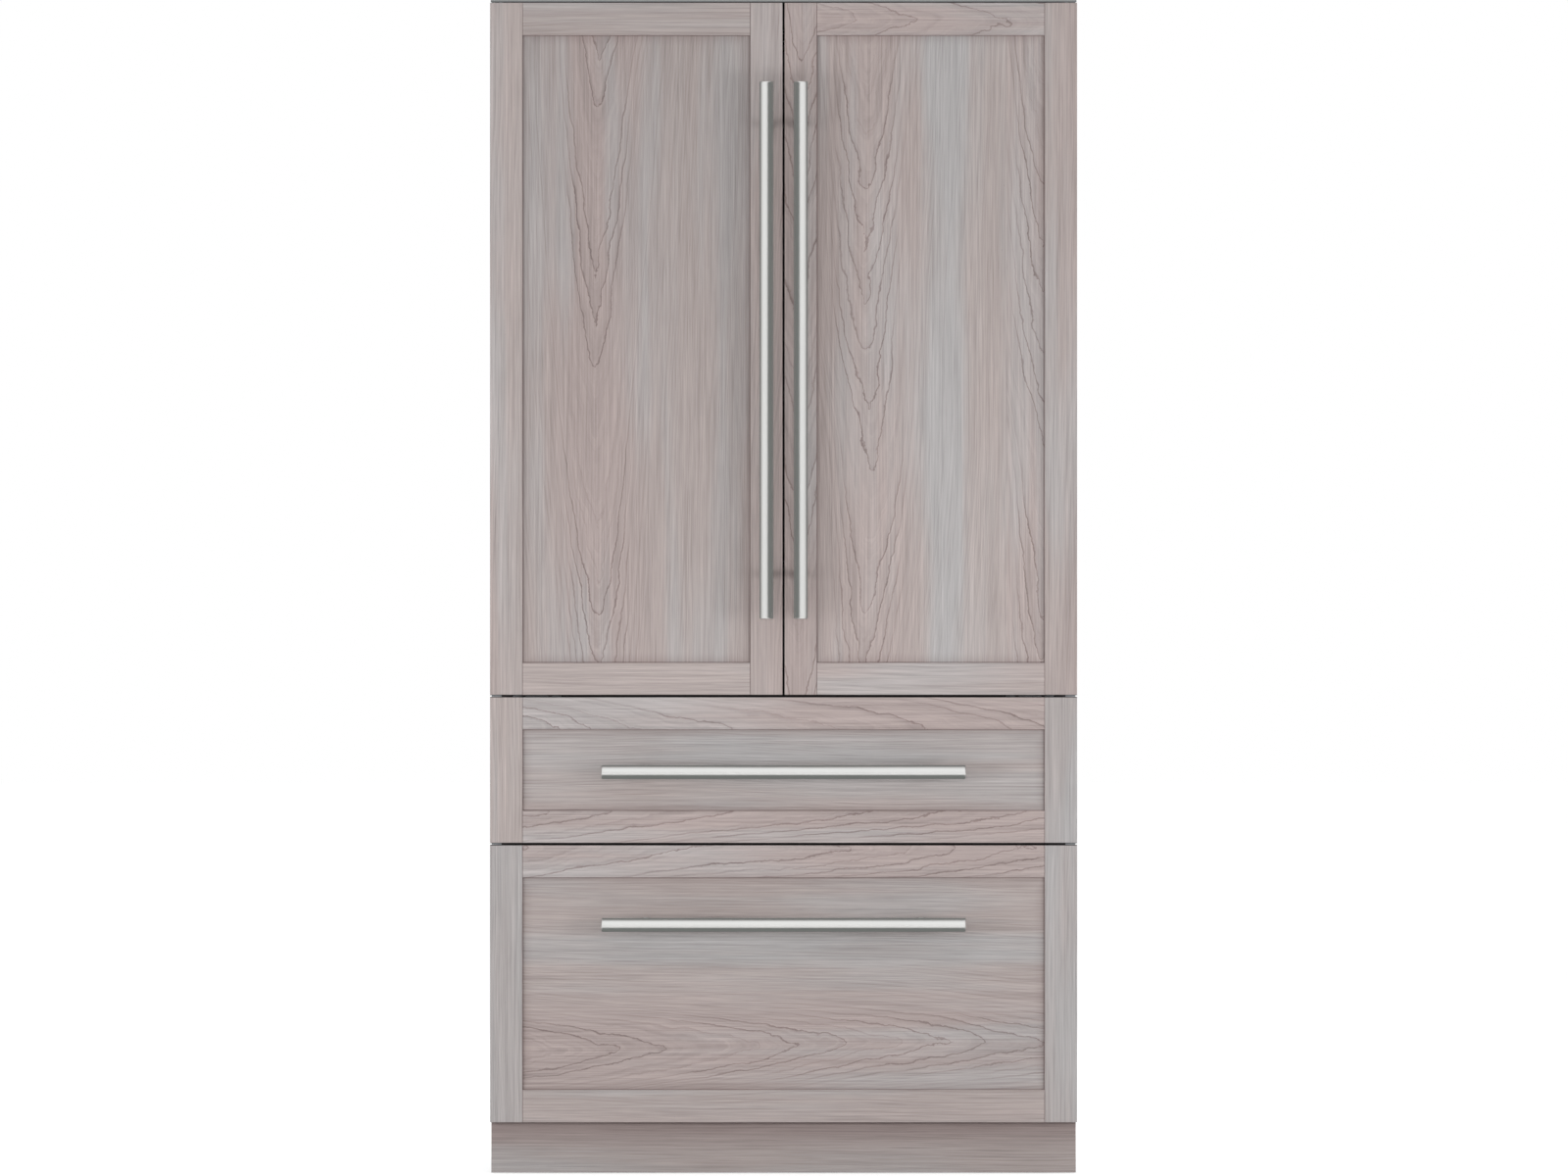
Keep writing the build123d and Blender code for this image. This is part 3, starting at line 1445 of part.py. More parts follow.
with BuildPart() as ceiling_light:
    with BuildSketch(Plane.XY.offset(unit_low + lens_height)) as lens:
        rect(
            -lens_width / 2 + lens_fit,
            lens_width / 2 - lens_fit,
            lens_y + lens_fit,
            lens_y + lens_depth - lens_fit,
        )
        fillet(lens.vertices(), radius=lens_corner)
    extrude(amount=-2 * lens_height, taper=lens_draft)
keep(ceiling_light, "ceiling_light")
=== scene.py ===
import math

import bmesh
import bpy
from mathutils import Matrix, Vector


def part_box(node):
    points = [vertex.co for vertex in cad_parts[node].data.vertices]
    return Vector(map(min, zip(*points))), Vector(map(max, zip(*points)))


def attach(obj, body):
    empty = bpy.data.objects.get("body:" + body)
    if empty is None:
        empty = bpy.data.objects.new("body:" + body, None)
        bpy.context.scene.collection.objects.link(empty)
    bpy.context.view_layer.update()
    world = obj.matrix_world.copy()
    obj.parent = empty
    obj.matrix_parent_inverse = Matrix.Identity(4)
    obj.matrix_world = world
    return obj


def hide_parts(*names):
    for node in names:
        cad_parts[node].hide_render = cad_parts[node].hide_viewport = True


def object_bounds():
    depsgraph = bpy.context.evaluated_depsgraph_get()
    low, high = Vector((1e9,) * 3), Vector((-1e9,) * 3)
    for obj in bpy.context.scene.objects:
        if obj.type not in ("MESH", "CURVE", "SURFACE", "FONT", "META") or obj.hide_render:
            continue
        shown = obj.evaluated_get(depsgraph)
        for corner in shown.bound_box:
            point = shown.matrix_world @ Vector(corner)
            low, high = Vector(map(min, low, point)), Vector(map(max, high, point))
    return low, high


bl_info = {
    "name": "Panel-ready refrigerator looks",
    "version": (1, 0, 0),
    "blender": (4, 5, 0),
    "location": "View3D > Sidebar > Refrigerator",
    "description": "Wood fronts, bar handles, steel case and fitted interior of a built-in refrigerator",
    "category": "Object",
}

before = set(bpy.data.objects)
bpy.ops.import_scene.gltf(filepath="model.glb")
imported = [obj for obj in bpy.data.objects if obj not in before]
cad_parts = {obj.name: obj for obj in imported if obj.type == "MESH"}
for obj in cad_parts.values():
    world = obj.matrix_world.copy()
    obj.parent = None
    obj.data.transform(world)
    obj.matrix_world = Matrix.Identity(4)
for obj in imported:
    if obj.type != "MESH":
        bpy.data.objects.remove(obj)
cad_low, cad_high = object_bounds()

DOORS = ("left_door", "right_door")
DRAWERS = ("upper_drawer", "lower_drawer")
FRONTS = DOORS + DRAWERS
QUARTER_TURN = math.radians(90)
WHITE = (1.0, 1.0, 1.0, 1.0)


def node_box(name):
    """Lowest and highest corner of a CAD node, and its middle."""
    low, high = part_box(name)
    return low, high, (low + high) / 2


def colour(*channels):
    """A linear colour from display values between 0 and 255."""
    linear = []
    for channel in channels:
        share = channel / 255
        linear.append(share / 12.92 if share <= 0.04045 else ((share + 0.055) / 1.055) ** 2.4)
    return (*linear, 1.0)


# Node graphs


def arithmetic(operation):
    """Two methods for an operation: with the output first, and with it second."""

    def first(self, other):
        return self.graph.calc(operation, self, other)

    def second(self, other):
        return self.graph.calc(operation, other, self)

    return first, second


class Output:
    """The output of a node, which takes part in sums like a number."""

    __add__, __radd__ = arithmetic("ADD")
    __sub__, __rsub__ = arithmetic("SUBTRACT")
    __mul__, __rmul__ = arithmetic("MULTIPLY")
    __truediv__ = arithmetic("DIVIDE")[0]

    def __init__(self, graph, socket):
        self.graph = graph
        self.socket = socket

    def __abs__(self):
        return self.graph.calc("ABSOLUTE", self)


class Graph:
    """The nodes of a material or a world, with short calls that add one and return its output."""

    def __init__(self, owner):
        owner.use_nodes = True
        self.tree = owner.node_tree

    def feed(self, socket, value):
        if isinstance(value, Output):
            self.tree.links.new(value.socket, socket)
        else:
            socket.default_value = value

    def node(self, kind, inputs, output=0, **settings):
        """Add a node, set it up, feed its inputs by number or name, and return one output."""
        node = self.tree.nodes.new(kind)
        for key, value in settings.items():
            setattr(node, key, value)
        for key, value in inputs.items():
            self.feed(node.inputs[key], value)
        return Output(self, node.outputs[output])

    def calc(self, operation, *numbers):
        return self.node("ShaderNodeMath", dict(enumerate(numbers)), operation=operation)

    def split(self, vector):
        node = self.node("ShaderNodeSeparateXYZ", {0: vector}).socket.node
        return [Output(self, output) for output in node.outputs]

    def join(self, x, y, z):
        return self.node("ShaderNodeCombineXYZ", {0: x, 1: y, 2: z})

    def step(self, value, low, high, to_low=0.0, to_high=1.0, smooth=True):
        """A number that passes from to_low to to_high while value passes from low to high."""
        numbers = dict(enumerate((value, low, high, to_low, to_high)))
        return self.node("ShaderNodeMapRange", numbers, interpolation_type="SMOOTHSTEP" if smooth else "LINEAR")

    def blend(self, factor, first, second, mode="MIX"):
        inputs = {0: factor, 6: first, 7: second}
        return self.node("ShaderNodeMix", inputs, 2, data_type="RGBA", blend_type=mode)

    def either(self, factor, first, second):
        """A number between two others, kept a plain number where both are the same."""
        if first == second:
            return first
        return self.node("ShaderNodeMix", {0: factor, 2: first, 3: second}, data_type="FLOAT")

    def ray(self, kind):
        """Whether a ray is of one kind: Camera, Transmission or Glossy."""
        return self.node("ShaderNodeLightPath", {}, f"Is {kind} Ray")

    def looked_at(self):
        """Whether the camera looks at it, also through something clear."""
        return self.calc("MAXIMUM", self.ray("Camera"), self.ray("Transmission"))


class Finish(Graph):
    """One procedural material on object coordinates."""

    def __init__(self, name):
        self.material = bpy.data.materials.new(name)
        super().__init__(self.material)
        self.shader = self.tree.nodes["Principled BSDF"]
        self.place = self.node("ShaderNodeTexCoord", {}, "Object")

    def noise(self, scale, detail=2.0, roughness=0.5, vector=None):
        inputs = {"Vector": vector or self.place, "Scale": scale, "Detail": detail, "Roughness": roughness}
        return self.node("ShaderNodeTexNoise", inputs, "Fac")

    def cells(self, scale, output):
        return self.node("ShaderNodeTexVoronoi", {"Vector": self.place, "Scale": scale}, output)

    def random(self, value):
        return self.node("ShaderNodeTexWhiteNoise", {"W": value}, "Value", noise_dimensions="1D")

    def shaded(self, tone, light):
        """A colour made lighter or darker by a number."""
        return self.blend(1.0, tone, self.join(light, light, light), "MULTIPLY")

    def bump(self, height, distance, strength):
        inputs = {"Height": height, "Distance": distance, "Strength": strength}
        self.feed(self.shader.inputs["Normal"], self.node("ShaderNodeBump", inputs))

    def surface(self, **values):
        """Set the shader's own sockets, by their names with underscores for spaces."""
        for key, value in values.items():
            self.feed(self.shader.inputs[key.replace("_", " ").title().replace("Ior", "IOR")], value)
        return self.material


def each(bodies, part):
    """The CAD nodes of one part on several bodies."""
    return [f"{body}_{part}" for body in bodies]


def dress(material, *names):
    """Give CAD nodes a material, in their own slot."""
    for name in names:
        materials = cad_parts[name].data.materials
        if len(materials):
            materials[0] = material
        else:
            materials.append(material)


# Wood


def board(centre, slope, seed, shade=1.0, point=3.9, second=9.0, cool=0.0, warm=1.0):
    """One board's grain.

    Its arches lie at centre across the board, climb along it by slope and are as pointed as point. Another row of
    arches lies at second, or far off the board for none. A panel's shade may run from bottom to top, and its cool
    may be a band's middle, half width and strength.
    """
    return dict(
        centre=centre, slope=slope, seed=seed, shade=shade, point=point, second=second, cool=cool, warm=warm
    )


FRAME_BOARDS = {
    "left_door": {
        "left": board(-0.62, -0.02, 1.0, 0.97),
        "right": board(0.05, 0.06, 2.0, 0.95),
        "low": board(0.76, 0.03, 3.0),
        "high": board(2.24, 0.02, 4.0, 0.91),
    },
    "right_door": {
        "left": board(0.031, -0.11, 5.0, 0.93, point=2.4),
        "right": board(0.60, 0.03, 6.0, 0.93),
        "low": board(0.99, -0.02, 7.0),
        "high": board(2.098, 0.09, 8.0, 0.96, point=1.6),
    },
    "upper_drawer": {
        "left": board(-0.62, 0.02, 9.0, 0.97, warm=0.4),
        "right": board(0.66, 0.02, 10.0, 0.93, cool=0.5),
        "low": board(0.664, 0.065, 11.0, 0.97, point=4.6),
        "high": board(0.803, 0.09, 12.0, 0.98, point=2.0),
    },
    "lower_drawer": {
        "left": board(-0.66, 0.02, 13.0, 0.93, cool=0.6),
        "right": board(0.62, 0.02, 14.0, 0.93, cool=0.3),
        "low": board(0.0, 0.02, 15.0, 0.92),
        "high": board(0.597, 0.07, 16.0, 0.97, point=3.4),
    },
}
PANEL_BOARDS = {
    "left_door": board(-0.333, -0.085, 21.0, (0.95, 0.83), point=3.2),
    "right_door": board(
        0.152, -0.085, 22.0, (1.01, 0.91), point=2.3, second=0.476, cool=(0.294, 0.05, 0.7), warm=0.8
    ),
    "upper_drawer": board(0.56, 0.02, 23.0, 0.94, cool=(0.78, 0.05, 0.5)),
    "lower_drawer": board(0.232, 0.092, 24.0, 0.92, point=2.6, cool=(0.41, 0.04, 0.7)),
}
# The toe kick's low shade is painted shade, for the shadow under the lower drawer
KICK_BOARD = board(-0.12, 0.02, 31.0, 0.815)

# How far grain leans with depth, so that it runs on over a board's edges
DEPTH_LEAN = 0.8
ARCH_HALF_WIDTH = 0.03
# Widths of the painted shade beside upright and level gaps
UPRIGHT_GAP_SHADE = 0.0007
LEVEL_GAP_SHADE = 0.0014


def grain(graph, across, along, values, looks):
    """Colour and height of flat-sawn maple with a grey wash. Lengths are in metres."""
    seed_offset = values["seed"] * 3.17
    shifted = across + seed_offset

    def flecks(across_scale, along_scale, layer, detail=1.0, roughness=0.5, start=shifted):
        """Noise drawn out along the grain."""
        place = graph.join(start * across_scale, along * along_scale, layer)
        return graph.noise(1.0, detail, roughness, place)

    # The pith line wanders a little along the board
    drift = graph.noise(1.0, 1.0, vector=graph.join(seed_offset, along * 1.6, 0.0))
    # A board may have a second row of arches, further across it
    beyond = graph.calc("GREATER_THAN", across, values["second"] - 0.07)
    centre = graph.either(beyond, values["centre"], values["second"])
    side = (across - centre) - (drift - 0.5) * 0.05
    spread = abs(side)
    # Growth rings: arches near the centre line that turn into straight lines beside it
    rounded = graph.calc("SQRT", side * side + 0.000012)
    steepness = abs(values["slope"]) * values["point"]
    rise = rounded * steepness + side * side * 4.0
    jag = flecks(95.0, 70.0, 0.3, 2.0, 0.6)
    bend = flecks(24.0, 17.0, 0.3, 1.0, 0.6)
    sway = flecks(9.0, 3.0, 1.7, 2.0)
    arch_zone = graph.step(spread, ARCH_HALF_WIDTH, ARCH_HALF_WIDTH + 0.05, 1.0, 0.0)
    wobble = (jag - 0.5) * 0.0034 + (bend - 0.5) * 0.008
    calmed = wobble * graph.step(arch_zone, 0.0, 1.0, 0.12, 1.0)
    distance = rise + along * values["slope"] + calmed + (sway - 0.5) * 0.010
    turns = distance * (1.0 / looks.ring_spacing) + values["seed"] * 7.31
    ring = graph.calc("FLOOR", turns)
    share = graph.calc("FRACT", turns)
    chance = graph.random(ring + values["seed"])
    # How fast the rings pass across the board, so that every ring line is equally thin
    pace = side * steepness / rounded + side * 8.0
    pace = graph.calc("SQRT", pace * pace + values["slope"] * values["slope"])
    to_edge = (1.0 - share) * looks.ring_spacing / pace
    edge = graph.step(to_edge, 0.3 * looks.line_width, looks.line_width, 1.0, 0.0)
    # Whole lines in the arches, broken ones in the straight grain beside them
    fading = flecks(40.0, 9.0, 4.0)
    unbroken = graph.calc("MAXIMUM", graph.step(fading, 0.4, 0.6, 0.25, 1.0), arch_zone * 0.85)
    line = edge * graph.step(chance, 0.15, 0.5) * unbroken * graph.step(arch_zone, 0.0, 1.0, 0.2, 1.0)
    # Early to late wood inside each ring
    late = graph.step(share, 0.1, 0.97, smooth=False) * chance * graph.step(arch_zone, 0.0, 1.0, 0.3, 1.0)
    # Fibre that follows the rings, and straight fibre in three widths
    ribbon = flecks(430.0, 1.2, 6.0, 2.0, 0.6, distance)
    fine = flecks(780.0, 12.0, 0.0, 2.0, 0.65)
    medium = flecks(310.0, 3.2, 5.0, 1.0, 0.6)
    wide = flecks(34.0, 0.9, 9.0, 2.0)
    cloud = flecks(7.0, 1.3, 2.0, 2.0)
    light = 1.025
    for pattern, strength in ((ribbon, 0.46), (fine, 0.62), (medium, 0.58), (wide, 0.12), (cloud, 0.12)):
        light = light + (pattern - 0.5) * strength
    pores = flecks(900.0, 130.0, 7.0)
    light = (light + late * -0.07) * graph.step(pores, 0.74, 0.84, 1.0, 0.72) * values["shade"]
    # Greyer and bluer sapwood beside the pinker middle
    cool_band = graph.step(cloud + wide * 0.5, 0.66, 0.95, 0.0, 0.7) + values["cool"]
    pinkness = graph.step(spread, 0.02, 0.15, 1.0, 0.25) * values["warm"]
    tone = graph.blend(pinkness, looks.plain_tone, looks.warm_tone)
    tone = graph.blend(graph.calc("MINIMUM", cool_band, 1.0), tone, looks.cool_tone)
    tone = graph.blend(line * 0.58, tone, looks.line_and_shade_tone)
    return graph.shaded(tone, light), fine + line


def finish_wood(graph, tone, height, looks):
    graph.bump(height, 0.00012, 0.35)
    return graph.surface(base_color=tone, roughness=looks.roughness, specular_ior_level=0.32)


def frame_wood(front, looks):
    """Wood for a front's frame: upright grain in the stiles, level grain in the rails."""
    low, high, middle = node_box(f"{front}_frame")
    graph = Finish(f"{front}_frame_wood")
    x, y, z = graph.split(graph.place)
    from_middle = x - middle.x
    inner_half = (high.x - low.x) / 2 - looks.member_width
    is_rail = graph.calc("LESS_THAN", abs(from_middle), inner_half + 0.0001)
    is_right = graph.calc("GREATER_THAN", x, middle.x)
    is_top = graph.calc("GREATER_THAN", z, middle.z)
    boards = FRAME_BOARDS[front]

    def pick(key):
        """One board property, chosen by position among two stiles and two rails."""
        stile = graph.either(is_right, boards["left"][key], boards["right"][key])
        rail = graph.either(is_top, boards["low"][key], boards["high"][key])
        return graph.either(is_rail, stile, rail)

    across = graph.either(is_rail, x, z) + (y - low.y) * DEPTH_LEAN
    values = {key: pick(key) for key in boards["left"]}
    tone, height = grain(graph, across, graph.either(is_rail, z, x), values, looks)
    # The tight joint between a stile and a rail shows as a fine dark line
    joint = graph.step(abs(abs(from_middle) - inner_half), 0.0003, 0.0012, 0.45, 0.0)
    # Painted shade on the rails, fading out within 6 mm of the recessed panel
    inner_half_z = (high.z - low.z) / 2 - looks.member_width
    from_panel = abs(abs(z - middle.z) - inner_half_z)
    rail_panel_shade = graph.step(from_panel, 0.0, 0.006, 0.16, 0.0) * is_rail
    tone = graph.blend(graph.calc("MAXIMUM", joint, rail_panel_shade), tone, looks.line_and_shade_tone)
    # Painted shade on the eased edges beside the gaps between the fronts
    gaps = {
        "left_door": ((x, high.x, UPRIGHT_GAP_SHADE), (z, low.z, LEVEL_GAP_SHADE)),
        "right_door": ((x, low.x, UPRIGHT_GAP_SHADE), (z, low.z, LEVEL_GAP_SHADE)),
        "upper_drawer": ((z, high.z, LEVEL_GAP_SHADE), (z, low.z, LEVEL_GAP_SHADE)),
        "lower_drawer": ((z, high.z, LEVEL_GAP_SHADE),),
    }[front]
    gap_shade = 0.0
    for position, edge, reach in gaps:
        near = graph.step(abs(position - edge), 0.5 * reach, reach, 1.0, 0.0)
        gap_shade = graph.calc("MAXIMUM", gap_shade, near)
    gap_shade = gap_shade * graph.step(y, low.y + 0.0010, low.y + 0.0024, 0.95, 0.0)
    return finish_wood(graph, graph.blend(gap_shade, tone, looks.seam_shade_tone), height, looks)


def panel_wood(front, looks):
    """Wood for a recessed panel, with the shade that lies along its edges."""
    low, high, middle = node_box(f"{front}_panel")
    graph = Finish(f"{front}_panel_wood")
    x, y, z = graph.split(graph.place)
    across, along = (x, z) if front in DOORS else (z, x)
    values = dict(PANEL_BOARDS[front])
    if isinstance(values["cool"], tuple):
        band_middle, band_half, strength = values["cool"]
        values["cool"] = graph.step(abs(across - band_middle), band_half * 0.3, band_half, strength, 0.0)
    # Painted shade: a door panel's shade darkens it from its bottom toward its top
    if isinstance(values["shade"], tuple):
        values["shade"] = graph.step(z, low.z, high.z, *values["shade"], smooth=False)
    tone, height = grain(graph, across + (y - low.y) * DEPTH_LEAN, along, values, looks)
    seen_x = (high.x - low.x) / 2 - looks.groove
    seen_z = (high.z - low.z) / 2 - looks.groove
    from_x, from_z = abs(x - middle.x), abs(z - middle.z)

    def near_edge(width):
        beside = graph.step(from_x, seen_x - width, seen_x)
        return graph.calc("MAXIMUM", beside, graph.step(from_z, seen_z - width, seen_z))

    shade = near_edge(0.022) * 0.17 + near_edge(0.003) * 0.42
    return finish_wood(graph, graph.blend(shade, tone, looks.line_and_shade_tone), height, looks)


def kick_wood(looks):
    """Level grain for the toe kick."""
    low, high, _ = node_box("toe_kick")
    graph = Finish("toe_kick_wood")
    x, y, z = graph.split(graph.place)
    tone, height = grain(graph, z + (y - low.y) * DEPTH_LEAN, x, KICK_BOARD, looks)
    # It stands back under the lower drawer, and the shade deepens toward its top edge
    shade = graph.step(z, high.z - 0.06, high.z, 0.0, 0.42)
    return finish_wood(graph, graph.blend(shade, tone, looks.line_and_shade_tone), height, looks)


# Metals, plastics and glass


def brushed(name, tone, grain_axis="Z", roughness=0.3):
    """Satin metal with fine lines along one axis."""
    graph = Finish(name)
    x, y, z = graph.split(graph.place)
    across, along = 1600.0, 6.0
    x_scale, z_scale = (along, across) if grain_axis == "X" else (across, along)
    lines = graph.noise(1.0, 3.0, 0.6, graph.join(x * x_scale, y * across, z * z_scale))
    cloud = graph.noise(9.0)
    graph.bump(lines, 0.00004, 0.4)
    return graph.surface(
        base_color=graph.shaded(tone, 1.0 + (lines - 0.5) * 0.16 + (cloud - 0.5) * 0.05),
        roughness=roughness - 0.06 + lines * 0.12,
        metallic=1.0,
        anisotropic=0.4,
    )


def painted(name, tone, roughness=0.42, speckle=0.05):
    """Painted sheet with a fine texture and faint cloudiness."""
    graph = Finish(name)
    fine = graph.noise(420.0, 3.0, 0.6)
    cloud = graph.noise(5.0, 3.0, 0.55)
    graph.bump(fine, 0.00006, 0.35)
    return graph.surface(
        base_color=graph.shaded(tone, 1.0 + (fine - 0.5) * (speckle * 2) + (cloud - 0.5) * (speckle * 1.6)),
        roughness=roughness - 0.07 + cloud * 0.14,
    )


def zinc_steel(name):
    """Galvanised sheet with its flat crystal spangle."""
    graph = Finish(name)
    spangle = graph.split(graph.cells(85.0, "Color"))[0]
    light = 0.86 + spangle * 0.2 + graph.noise(600.0) * 0.08
    return graph.surface(
        base_color=graph.shaded(colour(176, 180, 183), light), roughness=0.3 + spangle * 0.14, metallic=0.85
    )


def plastic(name, tone, roughness):
    """Moulded plastic with a faint orange-peel surface."""
    graph = Finish(name)
    peel = graph.noise(260.0)
    cloud = graph.noise(4.0)
    graph.bump(peel, 0.00005, 0.3)
    return graph.surface(
        base_color=graph.shaded(tone, 0.985 + peel * 0.02 + cloud * 0.015),
        roughness=roughness - 0.04 + cloud * 0.08,
        ior=1.49,
    )


def rubber(name, tone):
    graph = Finish(name)
    grit = graph.noise(900.0, 2.0, 0.6)
    dust = graph.noise(14.0, 3.0, 0.6)
    graph.bump(grit, 0.00004, 0.4)
    return graph.surface(
        base_color=graph.shaded(tone, 0.9 + grit * 0.1 + dust * 0.12),
        roughness=0.6 + dust * 0.12,
        specular_ior_level=0.4,
    )


def clear_sheet(name, tone, roughness, ior, alpha):
    """Clear glass or plastic with a tint, faint ripples and a little haze."""
    graph = Finish(name)
    smear = graph.noise(38.0, 4.0, 0.65)
    graph.bump(graph.noise(14.0), 0.0002, 0.15)
    return graph.surface(
        base_color=tone,
        roughness=roughness + graph.step(smear, 0.5, 0.8) * 0.05,
        transmission_weight=1.0,
        ior=ior,
        alpha=alpha,
    )


def foam(name):
    graph = Finish(name)
    cell = graph.cells(700.0, "Distance")
    light = 0.86 + cell * 0.25 + graph.noise(18.0, 4.0, 0.6) * 0.12
    graph.bump(cell, 0.0003, 0.5)
    return graph.surface(base_color=graph.shaded(colour(226, 214, 170), light), roughness=0.9)


# Mesh helpers


def turn(part, angle, axis):
    matrix = Matrix.Rotation(angle, 3, axis)
    bmesh.ops.rotate(part, verts=part.verts, cent=(0.0, 0.0, 0.0), matrix=matrix)


def shift(part, place):
    bmesh.ops.translate(part, verts=part.verts, vec=place)


def stretch(part, size):
    bmesh.ops.scale(part, verts=part.verts, vec=size)


def new_sheet(size):
    """A level square of one face."""
    sheet = bmesh.new()
    bmesh.ops.create_grid(sheet, x_segments=1, y_segments=1, size=size)
    return sheet


def absorb(bm, part):
    """Add a finished part to a piece."""
    scratch = bpy.data.meshes.new("scratch")
    part.to_mesh(scratch)
    part.free()
    bm.from_mesh(scratch)
    bpy.data.meshes.remove(scratch)


def bevel(part, geometry, width, segments, affect="EDGES", clamp=False):
    bmesh.ops.bevel(
        part, geom=geometry, offset=width, segments=segments, profile=0.5, affect=affect, material=-1,
        clamp_overlap=clamp,
    )


def soften(bm, width, segments=2, sharper_than=30):
    """Round every edge where two faces meet at more than an angle in degrees."""
    limit = math.radians(sharper_than)
    sharp = [edge for edge in bm.edges if len(edge.link_faces) == 2 and edge.calc_face_angle() > limit]
    bevel(bm, sharp, width, segments, clamp=True)


def add_block(bm, low, high, round_by):
    """A block between two corners, with rounded edges."""
    part = bmesh.new()
    low, high = Vector(low), Vector(high)
    bmesh.ops.create_cube(part, size=1.0)
    stretch(part, high - low)
    shift(part, (low + high) / 2)
    soften(part, round_by)
    absorb(bm, part)


def add_ring(bm, low, high, inset, width, near, far, round_by):
    """A flat ring that runs round a front inside the outline low to high, from depth near to far."""
    part = new_sheet(0.5)
    turn(part, QUARTER_TURN, "X")
    stretch(part, Vector((high.x - low.x - 2 * inset, 1.0, high.z - low.z - 2 * inset)))
    shift(part, ((low.x + high.x) / 2, near, (low.z + high.z) / 2))
    corner = 0.005
    bevel(part, part.verts[:], corner, 5, "VERTICES")
    middle = part.faces[:]
    bmesh.ops.inset_region(part, faces=middle, thickness=width, use_even_offset=True, use_boundary=True)
    bmesh.ops.delete(part, geom=middle, context="FACES")
    grown = bmesh.ops.extrude_face_region(part, geom=part.faces[:])["geom"]
    moved = [vert for vert in grown if isinstance(vert, bmesh.types.BMVert)]
    bmesh.ops.translate(part, verts=moved, vec=(0.0, far - near, 0.0))
    bmesh.ops.recalc_face_normals(part, faces=part.faces)
    soften(part, round_by, 3, 60)
    absorb(bm, part)


def top_face(part):
    return max(part.faces, key=lambda face: face.calc_center_median().z)


def add_screw(bm, place, radius, height):
    """A domed screw head with a sunk socket, which faces the front."""
    part = bmesh.new()
    bmesh.ops.create_cone(part, cap_ends=True, segments=24, radius1=radius, radius2=radius * 0.86, depth=height)
    bevel(part, list(top_face(part).edges), height * 0.3, 3)
    top = top_face(part)
    bmesh.ops.inset_region(part, faces=[top], thickness=radius * 0.34, use_even_offset=True)
    bmesh.ops.translate(part, verts=list(top.verts), vec=(0.0, 0.0, -height * 0.55))
    shift(part, (0.0, 0.0, height / 2))
    turn(part, QUARTER_TURN, "X")
    shift(part, place)
    absorb(bm, part)


def add_object(name, data):
    thing = bpy.data.objects.new(name, data)
    bpy.context.collection.objects.link(thing)
    return thing


def to_mesh(bm, name):
    mesh = bpy.data.meshes.new(name)
    bm.to_mesh(mesh)
    bm.free()
    return mesh


def put(bm, name, material, body, replaced=(), sharper_than=35):
    """Turn a finished bmesh into a piece that rides on a body."""
    mesh = to_mesh(bm, name)
    mesh.shade_smooth()
    mesh.set_sharp_from_angle(angle=math.radians(sharper_than))
    mesh.materials.append(material)
    piece = add_object(name, mesh)
    if replaced:
        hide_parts(*replaced)
    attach(piece, body)


# Settings


def tone_property(label, place, values):
    text = f"Colour of {place}"
    return bpy.props.FloatVectorProperty(
        name=label, description=text, default=colour(*values), size=4, min=0.0, max=1.0, subtype="COLOR"
    )


def number_property(label, text, value, lowest=0.0, **more):
    return bpy.props.FloatProperty(name=label, description=text, default=value, min=lowest, **more)


def length_property(label, text, value):
    return number_property(label, text, value, unit="LENGTH", subtype="DISTANCE")


class WoodSettings(bpy.types.PropertyGroup):
    ring_spacing: length_property("Ring spacing", "Distance between growth rings across the board", 0.0080)
    line_width: length_property("Line width", "Width of the fine dark lines between growth rings", 0.0034)
    member_width: length_property("Member width", "Width of the stiles and rails", 0.059)
    groove: length_property("Groove", "How far a panel's edge runs into its frame", 0.007)
    roughness: number_property("Roughness", "Roughness of the lacquer", 0.52, max=1.0, subtype="FACTOR")
    plain_tone: tone_property("Plain tone", "the straight-grained wood", (176, 166, 163))
    warm_tone: tone_property("Warm tone", "the wood inside the arches", (175, 161, 158))
    cool_tone: tone_property("Cool tone", "the greyer bands", (174, 171, 171))
    # The line tone is also the painted shade along the panels' edges, on the rails beside them and at the toe
    # kick's top
    line_and_shade_tone: tone_property("Line tone", "the ring lines and joints", (106, 84, 82))
    # The seam tone is painted shade on the eased edges beside the gaps
    seam_shade_tone: tone_property("Seam tone", "the stained edges beside the gaps", (26, 22, 21))


class MetalSettings(bpy.types.PropertyGroup):
    bar_tone: tone_property("Bar tone", "the bar handles", (232, 232, 230))
    case_tone: tone_property("Case tone", "the painted case", (168, 171, 174))
    hem_tone: tone_property("Hem tone", "the strip over the doors", (112, 114, 115))
    dark_tone: tone_property("Dark tone", "the frame round the openings", (34, 34, 36))
    pan_tone: tone_property("Pan tone", "the door and drawer pans", (66, 68, 70))


class InsideSettings(bpy.types.PropertyGroup):
    liner_tone: tone_property("Liner tone", "the inner liners", (224, 226, 227))
    gasket_tone: tone_property("Gasket tone", "the magnetic gaskets", (126, 128, 130))
    glass_tone: tone_property("Glass tone", "the glass shelves", (240, 250, 246))
    clear_tone: tone_property("Clear tone", "the clear bins and crispers", (248, 251, 252))


class StageSettings(bpy.types.PropertyGroup):
    camera_distance: length_property("Camera distance", "From the camera to the faces of the doors", 20.0)
    camera_height: length_property("Camera height", "Height of the camera over the floor", 1.0649)
    lens: number_property("Lens", "Focal length on a 36 mm wide sensor", 252.7, 1.0, unit="CAMERA")
    world_light: number_property("World light", "Strength of the even light from all round", 0.5)
    key_light: number_property("Key light", "Power that the soft lights share out", 88.0, unit="POWER")


# Pieces


